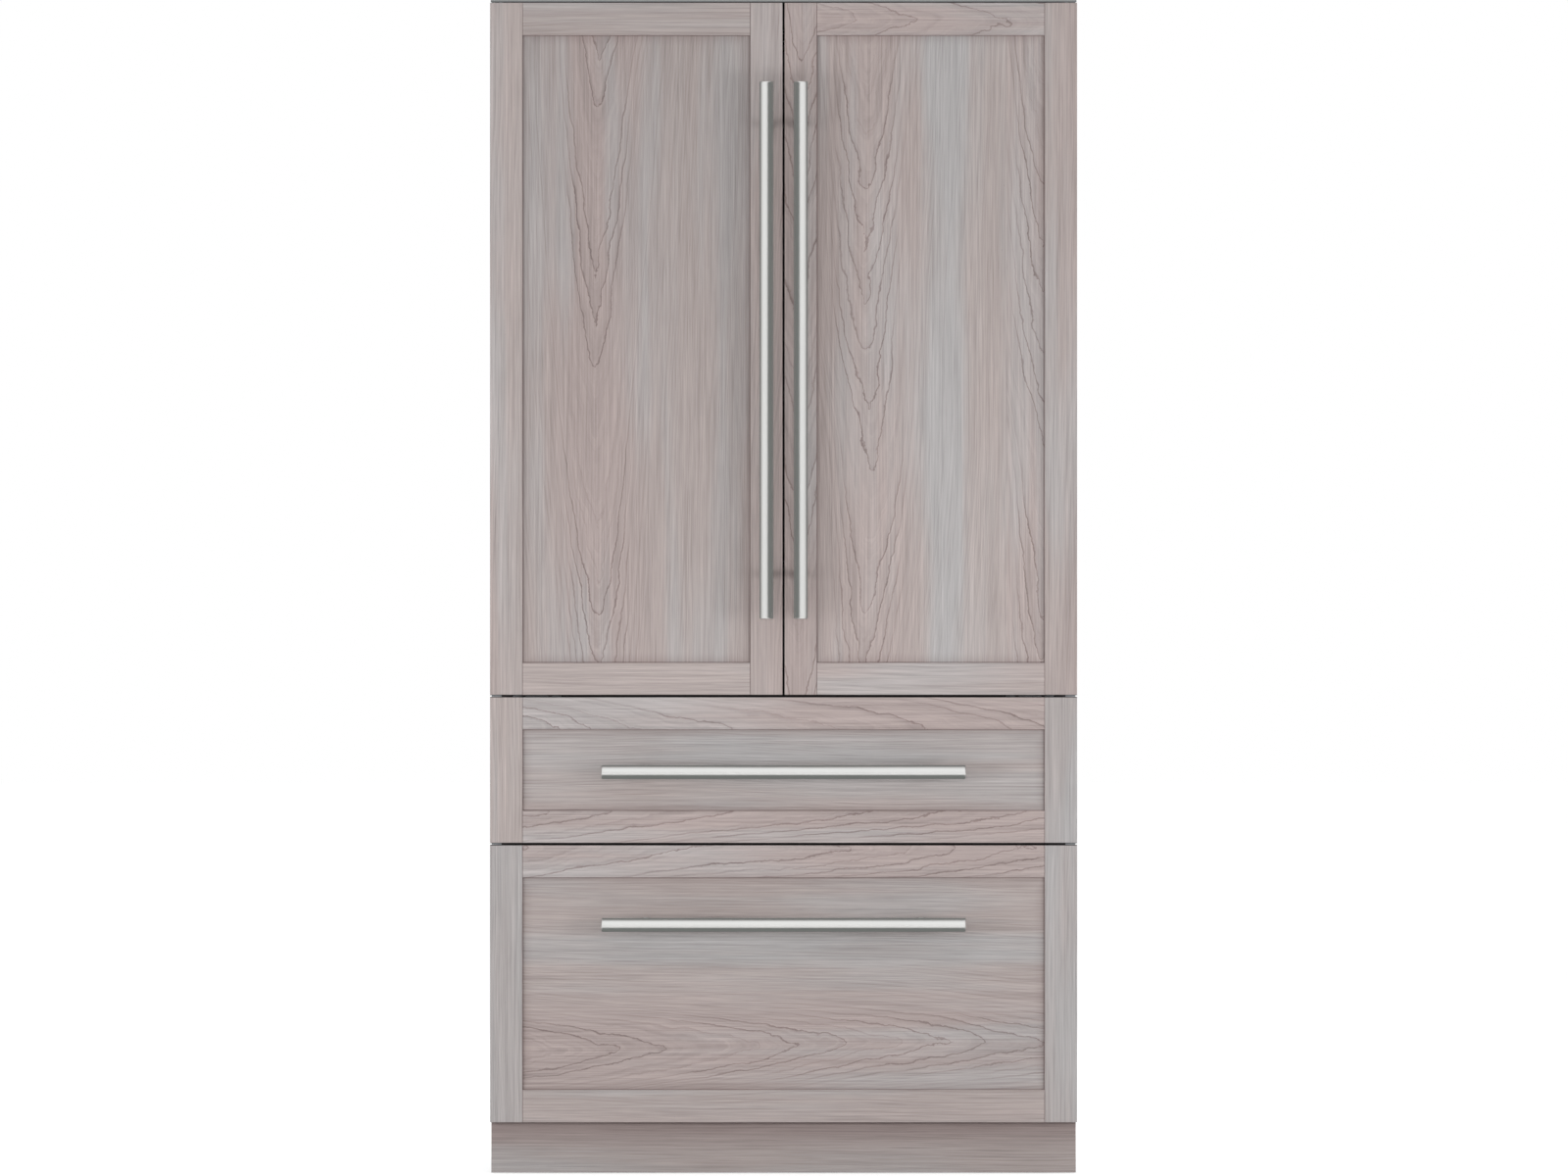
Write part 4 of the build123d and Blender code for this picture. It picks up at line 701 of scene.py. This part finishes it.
class Undoable:
    bl_options = {"REGISTER", "UNDO"}


class FinishWoodFronts(Undoable, bpy.types.Operator):
    """Washed maple on the frames, panels and toe kick, each board with its own grain"""

    bl_idname = "refrigerator.finish_wood_fronts"
    bl_label = "Wood fronts"

    def execute(self, context):
        looks = context.scene.wood_looks
        for front in FRONTS:
            dress(frame_wood(front, looks), f"{front}_frame")
            dress(panel_wood(front, looks), f"{front}_panel")
        dress(kick_wood(looks), "toe_kick")
        return {"FINISHED"}


class FitKickStrip(Undoable, bpy.types.Operator):
    """The wooden strip that closes the gap between the toe kick and the drawer above it"""

    bl_idname = "refrigerator.fit_kick_strip"
    bl_label = "Toe kick strip"

    def execute(self, context):
        low, high, _ = node_box("toe_kick")
        strip_height = 0.0021
        bm = bmesh.new()
        add_block(bm, (low.x, low.y, high.z), (high.x, high.y, high.z + strip_height), 0.0003)
        put(bm, "toe_kick_strip", bpy.data.materials["toe_kick_wood"], "case")
        return {"FINISHED"}


class FinishMetal(Undoable, bpy.types.Operator):
    """Brushed, painted and galvanised finishes on handles, case, hinges, slides and base"""

    bl_idname = "refrigerator.finish_metal"
    bl_label = "Metal"

    def execute(self, context):
        looks = context.scene.metal_looks
        dress(brushed("upright_bar_steel", looks.bar_tone), *each(DOORS, "handle"))
        dress(brushed("level_bar_steel", looks.bar_tone, "X"), *each(DRAWERS, "handle"))
        dress(painted("case_paint", looks.case_tone), "side_panels")
        dress(painted("hem_paint", looks.hem_tone, 0.35), "top_panel")
        dress(painted("dark_paint", looks.dark_tone, 0.5), "front_frame")
        dress(painted("flap_paint", looks.dark_tone, 0.45), "mullion_flap")
        dress(painted("pan_paint", looks.pan_tone, 0.4), *each(FRONTS, "pan"))
        zinc = zinc_steel("zinc_sheet")
        dress(zinc, "rear_panel", "base_frame", "hinge_brackets", "slide_rails")
        dress(zinc, "upper_slide_middles", "lower_slide_middles", *each(DRAWERS, "runners"))
        dress(brushed("pin_steel", colour(214, 214, 214), roughness=0.16), "hinge_pins")
        dress(brushed("foot_steel", colour(150, 152, 154), roughness=0.34), "levelling_feet")
        dress(brushed("ladder_steel", colour(188, 190, 190)), "shelf_supports")
        return {"FINISHED"}


class FinishInside(Undoable, bpy.types.Operator):
    """White liners, grey gaskets, glass shelves and clear bins and crispers"""

    bl_idname = "refrigerator.finish_inside"
    bl_label = "Inside"

    def execute(self, context):
        looks = context.scene.inside_looks
        clear = clear_sheet("clear_plastic", looks.clear_tone, 0.05, 1.2, 0.55)
        dark = plastic("dark_plastic", colour(44, 45, 47), 0.45)
        dress(plastic("liner_plastic", looks.liner_tone, 0.3), "inner_liners")
        dress(plastic("door_liner_plastic", looks.liner_tone, 0.34), *each(FRONTS, "liner"))
        dress(rubber("gasket_rubber", looks.gasket_tone), *each(FRONTS, "gasket"))
        dress(clear, "crisper_drawers", *each(DOORS, "bins"))
        dress(plastic("tub_plastic", colour(222, 227, 230), 0.3), *each(DRAWERS, "tub"))
        dress(clear_sheet("shelf_glass", looks.glass_tone, 0.01, 1.5, 0.75), "glass_shelves")
        dress(plastic("duct_plastic", colour(236, 238, 239), 0.36), "air_ducts")
        dress(plastic("panel_plastic", colour(226, 228, 230), 0.28), "control_panel")
        dress(plastic("lens_plastic", colour(246, 247, 244), 0.2), "ceiling_light")
        dress(dark, "mullion_guide", "fan_shroud", "power_inlet", "condenser_fan", "evaporator_fan")
        dress(rubber("roller_rubber", colour(48, 48, 50)), "rear_rollers")
        dress(foam("board_foam"), "insulation")
        return {"FINISHED"}


class FitGaskets(Undoable, bpy.types.Operator):
    """Magnetic gaskets with a foot, a folded bellows and a round magnet bulb"""

    bl_idname = "refrigerator.fit_gaskets"
    bl_label = "Gaskets"

    def execute(self, context):
        material = rubber("gasket_vinyl", context.scene.inside_looks.gasket_tone)
        # Each lobe: inset from the outline, width, first and last depth as shares, and how round it is
        lobes = (
            (0.0020, 0.0160, 0.00, 0.16, 0.0005),
            (0.0055, 0.0090, 0.12, 0.40, 0.0006),
            (0.0028, 0.0144, 0.34, 0.60, 0.0010),
            (0.0000, 0.0200, 0.56, 1.00, 0.0018),
        )
        for front in FRONTS:
            low, high, _ = node_box(f"{front}_gasket")
            bm = bmesh.new()
            for inset, width, first, last, round_by in lobes:
                near = low.y + (high.y - low.y) * first
                far = low.y + (high.y - low.y) * last
                add_ring(bm, low, high, inset, width, near, far, round_by)
            put(bm, f"{front}_bellows_gasket", material, front, [f"{front}_gasket"])
        return {"FINISHED"}


class FitLinerCorner(Undoable, bpy.types.Operator):
    """The rounded corner of the lower liner where it steps up over the machine compartment"""

    bl_idname = "refrigerator.fit_liner_corner"
    bl_label = "Liner corner"

    def execute(self, context):
        low, high, middle = node_box("inner_liners")
        step_top = node_box("evaporator")[0].z
        corners = [corner.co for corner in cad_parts["inner_liners"].data.vertices]
        fronts = [place.y for place in corners if 0.0 < place.y < high.y - 0.05 and place.z < step_top - 0.03]
        step_front = min(fronts)
        # The step's level top starts where the rounded corner ends
        reach = min(place.y for place in corners if place.y > step_front and abs(place.z - step_top) < 0.00005)
        leg = reach - step_front
        sheet = 0.0019
        bm = bmesh.new()
        bmesh.ops.create_cube(bm, size=1.0)
        stretch(bm, (high.x - low.x - 0.0044, leg, leg))
        shift(bm, (middle.x, step_front + leg / 2, step_top - leg / 2))
        # Only the front and the top of the block are kept
        hidden = [face for face in bm.faces if face.normal.y > -0.5 and face.normal.z < 0.5]
        bmesh.ops.delete(bm, geom=hidden, context="FACES_ONLY")
        loose = [edge for edge in bm.edges if not edge.link_faces]
        bmesh.ops.delete(bm, geom=loose, context="EDGES")
        bevel(bm, [edge for edge in bm.edges if len(edge.link_faces) == 2], 0.005, 8)
        bmesh.ops.solidify(bm, geom=bm.faces[:], thickness=sheet)
        bmesh.ops.recalc_face_normals(bm, faces=bm.faces)
        white = plastic("liner_corner_plastic", context.scene.inside_looks.liner_tone, 0.3)
        put(bm, "liner_step_corner", white, "case")
        return {"FINISHED"}


class FitShelfTrims(Undoable, bpy.types.Operator):
    """Satin trims on the front and rear edges of the glass, and on the bins and crispers"""

    bl_idname = "refrigerator.fit_shelf_trims"
    bl_label = "Shelf and bin trims"

    def execute(self, context):
        satin = brushed("trim_steel", colour(196, 198, 199), "X", 0.26)
        self.trim_shelves(satin)
        self.trim_bins(satin)
        self.trim_crispers(satin)
        return {"FINISHED"}

    def trim_shelves(self, satin):
        low, high, _ = node_box("glass_shelves")
        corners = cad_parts["glass_shelves"].data.vertices
        under, over, lip = 0.0022, 0.0014, 0.0016
        front = low.y - lip
        bm = bmesh.new()
        for side in (-1, 1):
            heights = sorted({round(corner.co.z, 4) for corner in corners if corner.co.x * side > 0.05})
            for bottom, top in zip(heights[::2], heights[1::2]):
                # The lowest sheet is one piece over both crispers
                whole = top < low.z + 0.006
                if whole and side > 0:
                    continue
                left, right = (low.x, high.x) if whole else sorted((side * 0.005, side * high.x))
                for near, far in ((front, low.y + 0.009), (high.y - 0.008, high.y + 0.0012)):
                    add_block(bm, (left, near, bottom - under), (right, far, bottom), 0.0006)
                    add_block(bm, (left, near, top), (right, far, top + over), 0.0006)
                add_block(bm, (left, front, bottom - under), (right, front + lip, top + over), 0.0007)
        put(bm, "shelf_trims", satin, "case")

    def trim_bins(self, satin):
        bin_height, corner = 0.104, 0.024
        for door in DOORS:
            low, high, _ = node_box(f"{door}_bins")
            bm = bmesh.new()
            for number in range(3):
                top = high.z - number * (high.z - low.z - bin_height) / 2
                near = (low.x + corner, high.y - 0.0004, top - 0.018)
                add_block(bm, near, (high.x - corner, high.y + 0.0012, top - 0.002), 0.0005)
            put(bm, f"{door}_bin_trims", satin, door)

    def trim_crispers(self, satin):
        low, high, _ = node_box("crisper_drawers")
        slide_half, knob_half = 0.052, 0.009
        face = low.y + 0.014
        bm = bmesh.new()
        slides = bmesh.new()
        for side in (-1, 1):
            near, far = sorted((side * 0.020, side * (high.x - 0.014)))
            add_block(bm, (near, low.y - 0.0010, high.z - 0.012), (far, low.y + 0.0004, high.z - 0.002), 0.0004)
            # The humidity slide behind the pull, on the drawer's face
            centre = (near + far) / 2
            corner = (centre - slide_half, face - 0.0014, high.z - 0.052)
            add_block(slides, corner, (centre + slide_half, face + 0.0004, high.z - 0.038), 0.0006)
            knob = centre + 0.018
            corner = (knob - knob_half, face - 0.0044, high.z - 0.0505)
            add_block(bm, corner, (knob + knob_half, face - 0.0010, high.z - 0.0395), 0.001)
        put(bm, "crisper_trims", satin, "case")
        dark = plastic("humidity_slide_plastic", colour(120, 124, 128), 0.4)
        put(slides, "humidity_slides", dark, "case")


class FitTouchStrip(Undoable, bpy.types.Operator):
    """A dark glass strip with plain touch points on the sloping front of the ceiling unit"""

    bl_idname = "refrigerator.fit_touch_strip"
    bl_label = "Touch strip"

    def execute(self, context):
        low, high, middle = node_box("control_panel")
        height = high.z - low.z
        slope = math.atan2(height / 2, height)
        centre = Vector((0.0, low.y + height / 4, middle.z))
        glass = bmesh.new()
        half_length, half_height, point_pitch = 0.145, 0.0085, 0.036
        add_block(glass, (-half_length, -0.0012, -half_height), (half_length, 0.0004, half_height), 0.0005)
        points = bmesh.new()
        for number in range(-3, 4):
            part = bmesh.new()
            radius = 0.0042 if abs(number) == 3 else 0.0027
            bmesh.ops.create_cone(part, cap_ends=True, segments=24, radius1=radius, radius2=radius, depth=0.0006)
            turn(part, QUARTER_TURN, "X")
            shift(part, (number * point_pitch, -0.0013, 0.0))
            absorb(points, part)
        for part in (glass, points):
            turn(part, slope, "X")
            shift(part, centre)
        put(glass, "touch_strip", plastic("strip_glass", colour(20, 21, 23), 0.12), "case")
        pale = plastic("touch_point_print", colour(206, 212, 216), 0.35)
        put(points, "touch_points", pale, "case")
        return {"FINISHED"}


class FitFasteners(Undoable, bpy.types.Operator):
    """Screws in the hinge brackets"""

    bl_idname = "refrigerator.fit_fasteners"
    bl_label = "Fasteners"

    def execute(self, context):
        low, high, _ = node_box("hinge_brackets")
        tab_front, tab_x, half_pitch = high.y - 0.0045, high.x - 0.068, 0.024
        radius, height = 0.0048, 0.0028
        bm = bmesh.new()
        for side in (-1, 1):
            for z in (high.z - 0.013, low.z + 0.007):
                for offset in (-half_pitch, half_pitch):
                    add_screw(bm, (side * tab_x + offset, tab_front, z), radius, height)
        steel = brushed("screw_steel", colour(186, 188, 190), roughness=0.28)
        put(bm, "hinge_screws", steel, "case")
        return {"FINISHED"}


class PressRearPanel(Undoable, bpy.types.Operator):
    """The rear sheet with shallow ribs pressed into it, which keep so wide a panel flat"""

    bl_idname = "refrigerator.press_rear_panel"
    bl_label = "Rear panel"

    def execute(self, context):
        high = node_box("rear_panel")[1]
        rib_count, rib_depth, flat_half, slope_width = 6, 0.0012, 0.010, 0.006
        above_shroud, below_top, beside_edge = 0.16, 0.14, 0.10
        lowest = node_box("fan_shroud")[1].z + above_shroud
        pitch = (high.z - below_top - lowest) / (rib_count - 1)
        ribs = [lowest + number * pitch for number in range(rib_count)]
        end = high.x - beside_edge
        bm = bmesh.new()
        bm.from_mesh(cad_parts["rear_panel"].data)
        bmesh.ops.remove_doubles(bm, verts=bm.verts, dist=0.00001)
        cuts = []
        for rib in ribs:
            for side in (-1, 1):
                for far in (flat_half, flat_half + slope_width):
                    cuts.append(((0.0, 0.0, rib + side * far), (0.0, 0.0, 1.0)))
        for side in (-1, 1):
            for far in (end, end + slope_width):
                cuts.append(((side * far, 0.0, 0.0), (1.0, 0.0, 0.0)))
        for place, direction in cuts:
            whole = bm.verts[:] + bm.edges[:] + bm.faces[:]
            bmesh.ops.bisect_plane(bm, geom=whole, dist=0.000001, plane_co=place, plane_no=direction)
        pressed = []
        for vert in bm.verts:
            if abs(vert.co.x) < end + 0.0001 and any(abs(vert.co.z - rib) < flat_half + 0.0001 for rib in ribs):
                pressed.append(vert)
        bmesh.ops.translate(bm, verts=pressed, vec=(0.0, -rib_depth, 0.0))
        bmesh.ops.dissolve_limit(bm, angle_limit=math.radians(0.5), verts=bm.verts[:], edges=bm.edges[:])
        zinc = zinc_steel("rear_zinc_sheet")
        put(bm, "ribbed_rear_panel", zinc, "case", ["rear_panel"], sharper_than=1)
        return {"FINISHED"}


class FitLouvres(Undoable, bpy.types.Operator):
    """Sloping blades behind the slots of the rear panel, which keep dust and fingers out"""

    bl_idname = "refrigerator.fit_louvres"
    bl_label = "Louvres"

    def execute(self, context):
        low, high, _ = node_box("rear_panel")
        # The slots' own edges in the panel's mesh give their places
        corners = [corner.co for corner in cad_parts["rear_panel"].data.vertices]
        inside = [place for place in corners if low.x + 0.06 < place.x < high.x - 0.06]
        inside = [place for place in inside if low.z + 0.02 < place.z < high.z - 0.02]
        heights = sorted({round(place.z, 4) for place in inside if place.x > 0.1})
        ends = sorted({round(place.x, 4) for place in inside if place.x > -0.1})
        column_pitch = (ends[-1] + ends[-2]) / 2
        half_width = (ends[-1] - ends[-2]) / 2 - 0.006
        half_depth, half_sheet, lean = 0.0055, 0.0004, math.radians(-42)
        bm = bmesh.new()
        for column in (-1, 0, 1):
            for bottom, top in zip(heights[::2], heights[1::2]):
                part = bmesh.new()
                corner = Vector((half_width, half_depth, half_sheet))
                add_block(part, -corner, corner, 0.0003)
                turn(part, lean, "X")
                shift(part, (column * column_pitch, low.y - 0.0045, (bottom + top) / 2 + 0.0004))
                absorb(bm, part)
        put(bm, "rear_louvres", zinc_steel("louvre_zinc"), "case")
        return {"FINISHED"}


class FinishMachinery(Undoable, bpy.types.Operator):
    """Black enamel on the compressor and condenser, bare aluminium on the evaporator"""

    bl_idname = "refrigerator.finish_machinery"
    bl_label = "Machinery"

    def execute(self, context):
        dress(painted("black_enamel", colour(30, 30, 32), 0.3, 0.08), "compressor", "condenser")
        dress(brushed("fin_aluminium", colour(206, 209, 212), roughness=0.28), "evaporator")
        return {"FINISHED"}


# Stage

# Each soft light: its place, its size and its share of the key light
SOFT_LIGHTS = {
    "left_softbox": ((-3.5, -4.2, 0.75), (2.2, 1.5), 0.80),
    "right_softbox": ((3.5, -4.2, 0.75), (2.2, 1.5), 0.80),
    "front_softbox": ((0.0, -3.6, 0.75), (1.8, 1.2), 0.18),
    "left_side_softbox": ((-3.8, 1.4, 2.0), (2.2, 2.2), 0.36),
    "right_side_softbox": ((3.8, 1.4, 2.0), (2.2, 2.2), 0.36),
    "rear_softbox": ((1.4, 4.4, 3.2), (3.0, 2.4), 0.66),
}


class BuildStage(Undoable, bpy.types.Operator):
    """Pale floor, white surroundings, soft lights and the camera at the photograph's angle"""

    bl_idname = "refrigerator.build_stage"
    bl_label = "Stage"

    def execute(self, context):
        scene = context.scene
        looks = scene.stage_looks
        self.add_floor()
        self.add_flags()
        self.set_world(scene, looks)
        self.add_lights(looks)
        self.add_camera(scene, looks)
        scene.view_settings.view_transform = "Standard"
        return {"FINISHED"}

    def add_floor(self):
        bm = new_sheet(40.0)
        floor = add_object("floor", to_mesh(bm, "floor"))
        graph = Finish("floor_white")
        # It glows white where it is looked at, half as much in reflections, and lights nothing itself
        glow, mirrored = 0.62, 0.5
        seen = graph.calc("MAXIMUM", graph.looked_at(), graph.ray("Glossy") * mirrored)
        paint = graph.surface(
            base_color=graph.shaded(colour(226, 226, 226), 0.985 + graph.noise(0.8) * 0.03),
            roughness=0.9,
            specular_ior_level=0.1,
            emission_color=WHITE,
            emission_strength=seen * glow,
        )
        floor.data.materials.append(paint)

    def add_flags(self):
        """Grey cards, seen only in reflections, that darken the rims and one side of each bar."""
        graph = Finish("flag_grey")
        paint = graph.surface(
            base_color=colour(0, 0, 0),
            roughness=1.0,
            specular_ior_level=0.0,
            emission_color=graph.shaded((0.96, 1.0, 0.97, 1.0), 0.95 + graph.noise(300.0) * 0.1),
            emission_strength=0.2,
        )
        low, high, left_bar = node_box("left_door_handle")
        radius, rim_width, overlap = 0.0125, 0.060, 0.06
        axis_y = low.y + radius
        rim_y = axis_y + 0.012
        rim_offset = radius + rim_width / 2
        length = high.z - low.z + overlap
        # Each card: its name, the axis that it faces, its middle and its size
        cards = [("left_door_handle_flag", "X", (0.0, axis_y - 0.055, left_bar.z), (0.0, 0.100, length))]
        for name, x, width in (
            ("left", left_bar.x - rim_offset, rim_width),
            ("middle", 0.0, 0.036),
            ("right", -left_bar.x + rim_offset, rim_width),
        ):
            cards.append((f"{name}_rim_flag", "Y", (x, rim_y, left_bar.z), (width, 0.0, length)))
        for drawer in DRAWERS:
            low, high, bar = node_box(f"{drawer}_handle")
            length = high.x - low.x + overlap
            place = (bar.x, axis_y - 0.008, bar.z - 0.030)
            cards.append((f"{drawer}_handle_flag", "Z", place, (length, 0.056, 0.0)))
            for name, side in (("upper", 1), ("lower", -1)):
                place = (bar.x, rim_y, bar.z + side * rim_offset)
                cards.append((f"{drawer}_{name}_rim_flag", "Y", place, (length, 0.0, rim_width)))
        turns = {"X": (QUARTER_TURN, "Y"), "Y": (QUARTER_TURN, "X"), "Z": (0.0, "Z")}
        for name, facing, place, size in cards:
            bm = new_sheet(0.5)
            turn(bm, *turns[facing])
            stretch(bm, size)
            shift(bm, place)
            mesh = to_mesh(bm, name)
            mesh.materials.append(paint)
            flag = add_object(name, mesh)
            for rays in ("camera", "diffuse", "transmission", "volume_scatter", "shadow"):
                setattr(flag, f"visible_{rays}", False)

    def set_world(self, scene, looks):
        """White where the camera or clear plastic looks through, a studio's gradient in reflections."""
        world = bpy.data.worlds.new("white_surroundings")
        graph = Graph(world)
        direction = graph.node("ShaderNodeTexCoord", {}, "Generated")
        mirrored = graph.step(graph.split(direction)[1], 0.35, -0.6, 0.42, 1.0, smooth=False)
        plain = graph.step(graph.looked_at(), 0.0, 1.0, looks.world_light, 1.0, smooth=False)
        background = graph.tree.nodes["Background"].inputs
        graph.feed(background["Color"], WHITE)
        graph.feed(background["Strength"], graph.either(graph.ray("Glossy"), plain, mirrored))
        scene.world = world

    def add_lights(self, looks):
        middle = (cad_low + cad_high) / 2
        for name, (place, size, share) in SOFT_LIGHTS.items():
            data = bpy.data.lights.new(name, "AREA")
            data.shape = "RECTANGLE"
            data.size, data.size_y = size
            data.energy = looks.key_light * share
            light = add_object(name, data)
            light.location = place
            light.rotation_euler = (middle - Vector(place)).to_track_quat("-Z", "Y").to_euler()
            light.visible_camera = False
            light.visible_glossy = False

    def add_camera(self, scene, looks):
        data = bpy.data.cameras.new("camera")
        data.lens = looks.lens
        data.sensor_width = 36.0
        camera = add_object("camera", data)
        face_y = node_box("left_door_frame")[0].y
        camera.location = (0.0008, face_y - looks.camera_distance, looks.camera_height)
        camera.rotation_euler = (QUARTER_TURN, 0.0, 0.0)
        scene.camera = camera


class RefrigeratorPanel(bpy.types.Panel):
    bl_idname = "VIEW3D_PT_refrigerator"
    bl_label = "Refrigerator"
    bl_space_type = "VIEW_3D"
    bl_region_type = "UI"
    bl_category = "Refrigerator"

    def draw(self, context):
        for operator in OPERATORS:
            self.layout.operator(operator.bl_idname)
        for name in SETTINGS:
            box = self.layout.box()
            group = getattr(context.scene, name)
            for key in group.bl_rna.properties.keys():
                if key not in ("rna_type", "name"):
                    box.prop(group, key)


OPERATORS = (
    FinishWoodFronts,
    FitKickStrip,
    FinishMetal,
    FinishInside,
    FitGaskets,
    FitLinerCorner,
    FitShelfTrims,
    FitTouchStrip,
    FitFasteners,
    PressRearPanel,
    FitLouvres,
    FinishMachinery,
    BuildStage,
)
SETTINGS = {
    "wood_looks": WoodSettings,
    "metal_looks": MetalSettings,
    "inside_looks": InsideSettings,
    "stage_looks": StageSettings,
}


def register():
    for name, group in SETTINGS.items():
        bpy.utils.register_class(group)
        setattr(bpy.types.Scene, name, bpy.props.PointerProperty(type=group))
    for operator in OPERATORS:
        bpy.utils.register_class(operator)
    bpy.utils.register_class(RefrigeratorPanel)


def unregister():
    bpy.utils.unregister_class(RefrigeratorPanel)
    for operator in reversed(OPERATORS):
        bpy.utils.unregister_class(operator)
    for name, group in SETTINGS.items():
        delattr(bpy.types.Scene, name)
        bpy.utils.unregister_class(group)


def main():
    register()
    for operator in OPERATORS:
        group, name = operator.bl_idname.split(".")
        getattr(getattr(bpy.ops, group), name)()


if __name__ == "__main__":
    main()
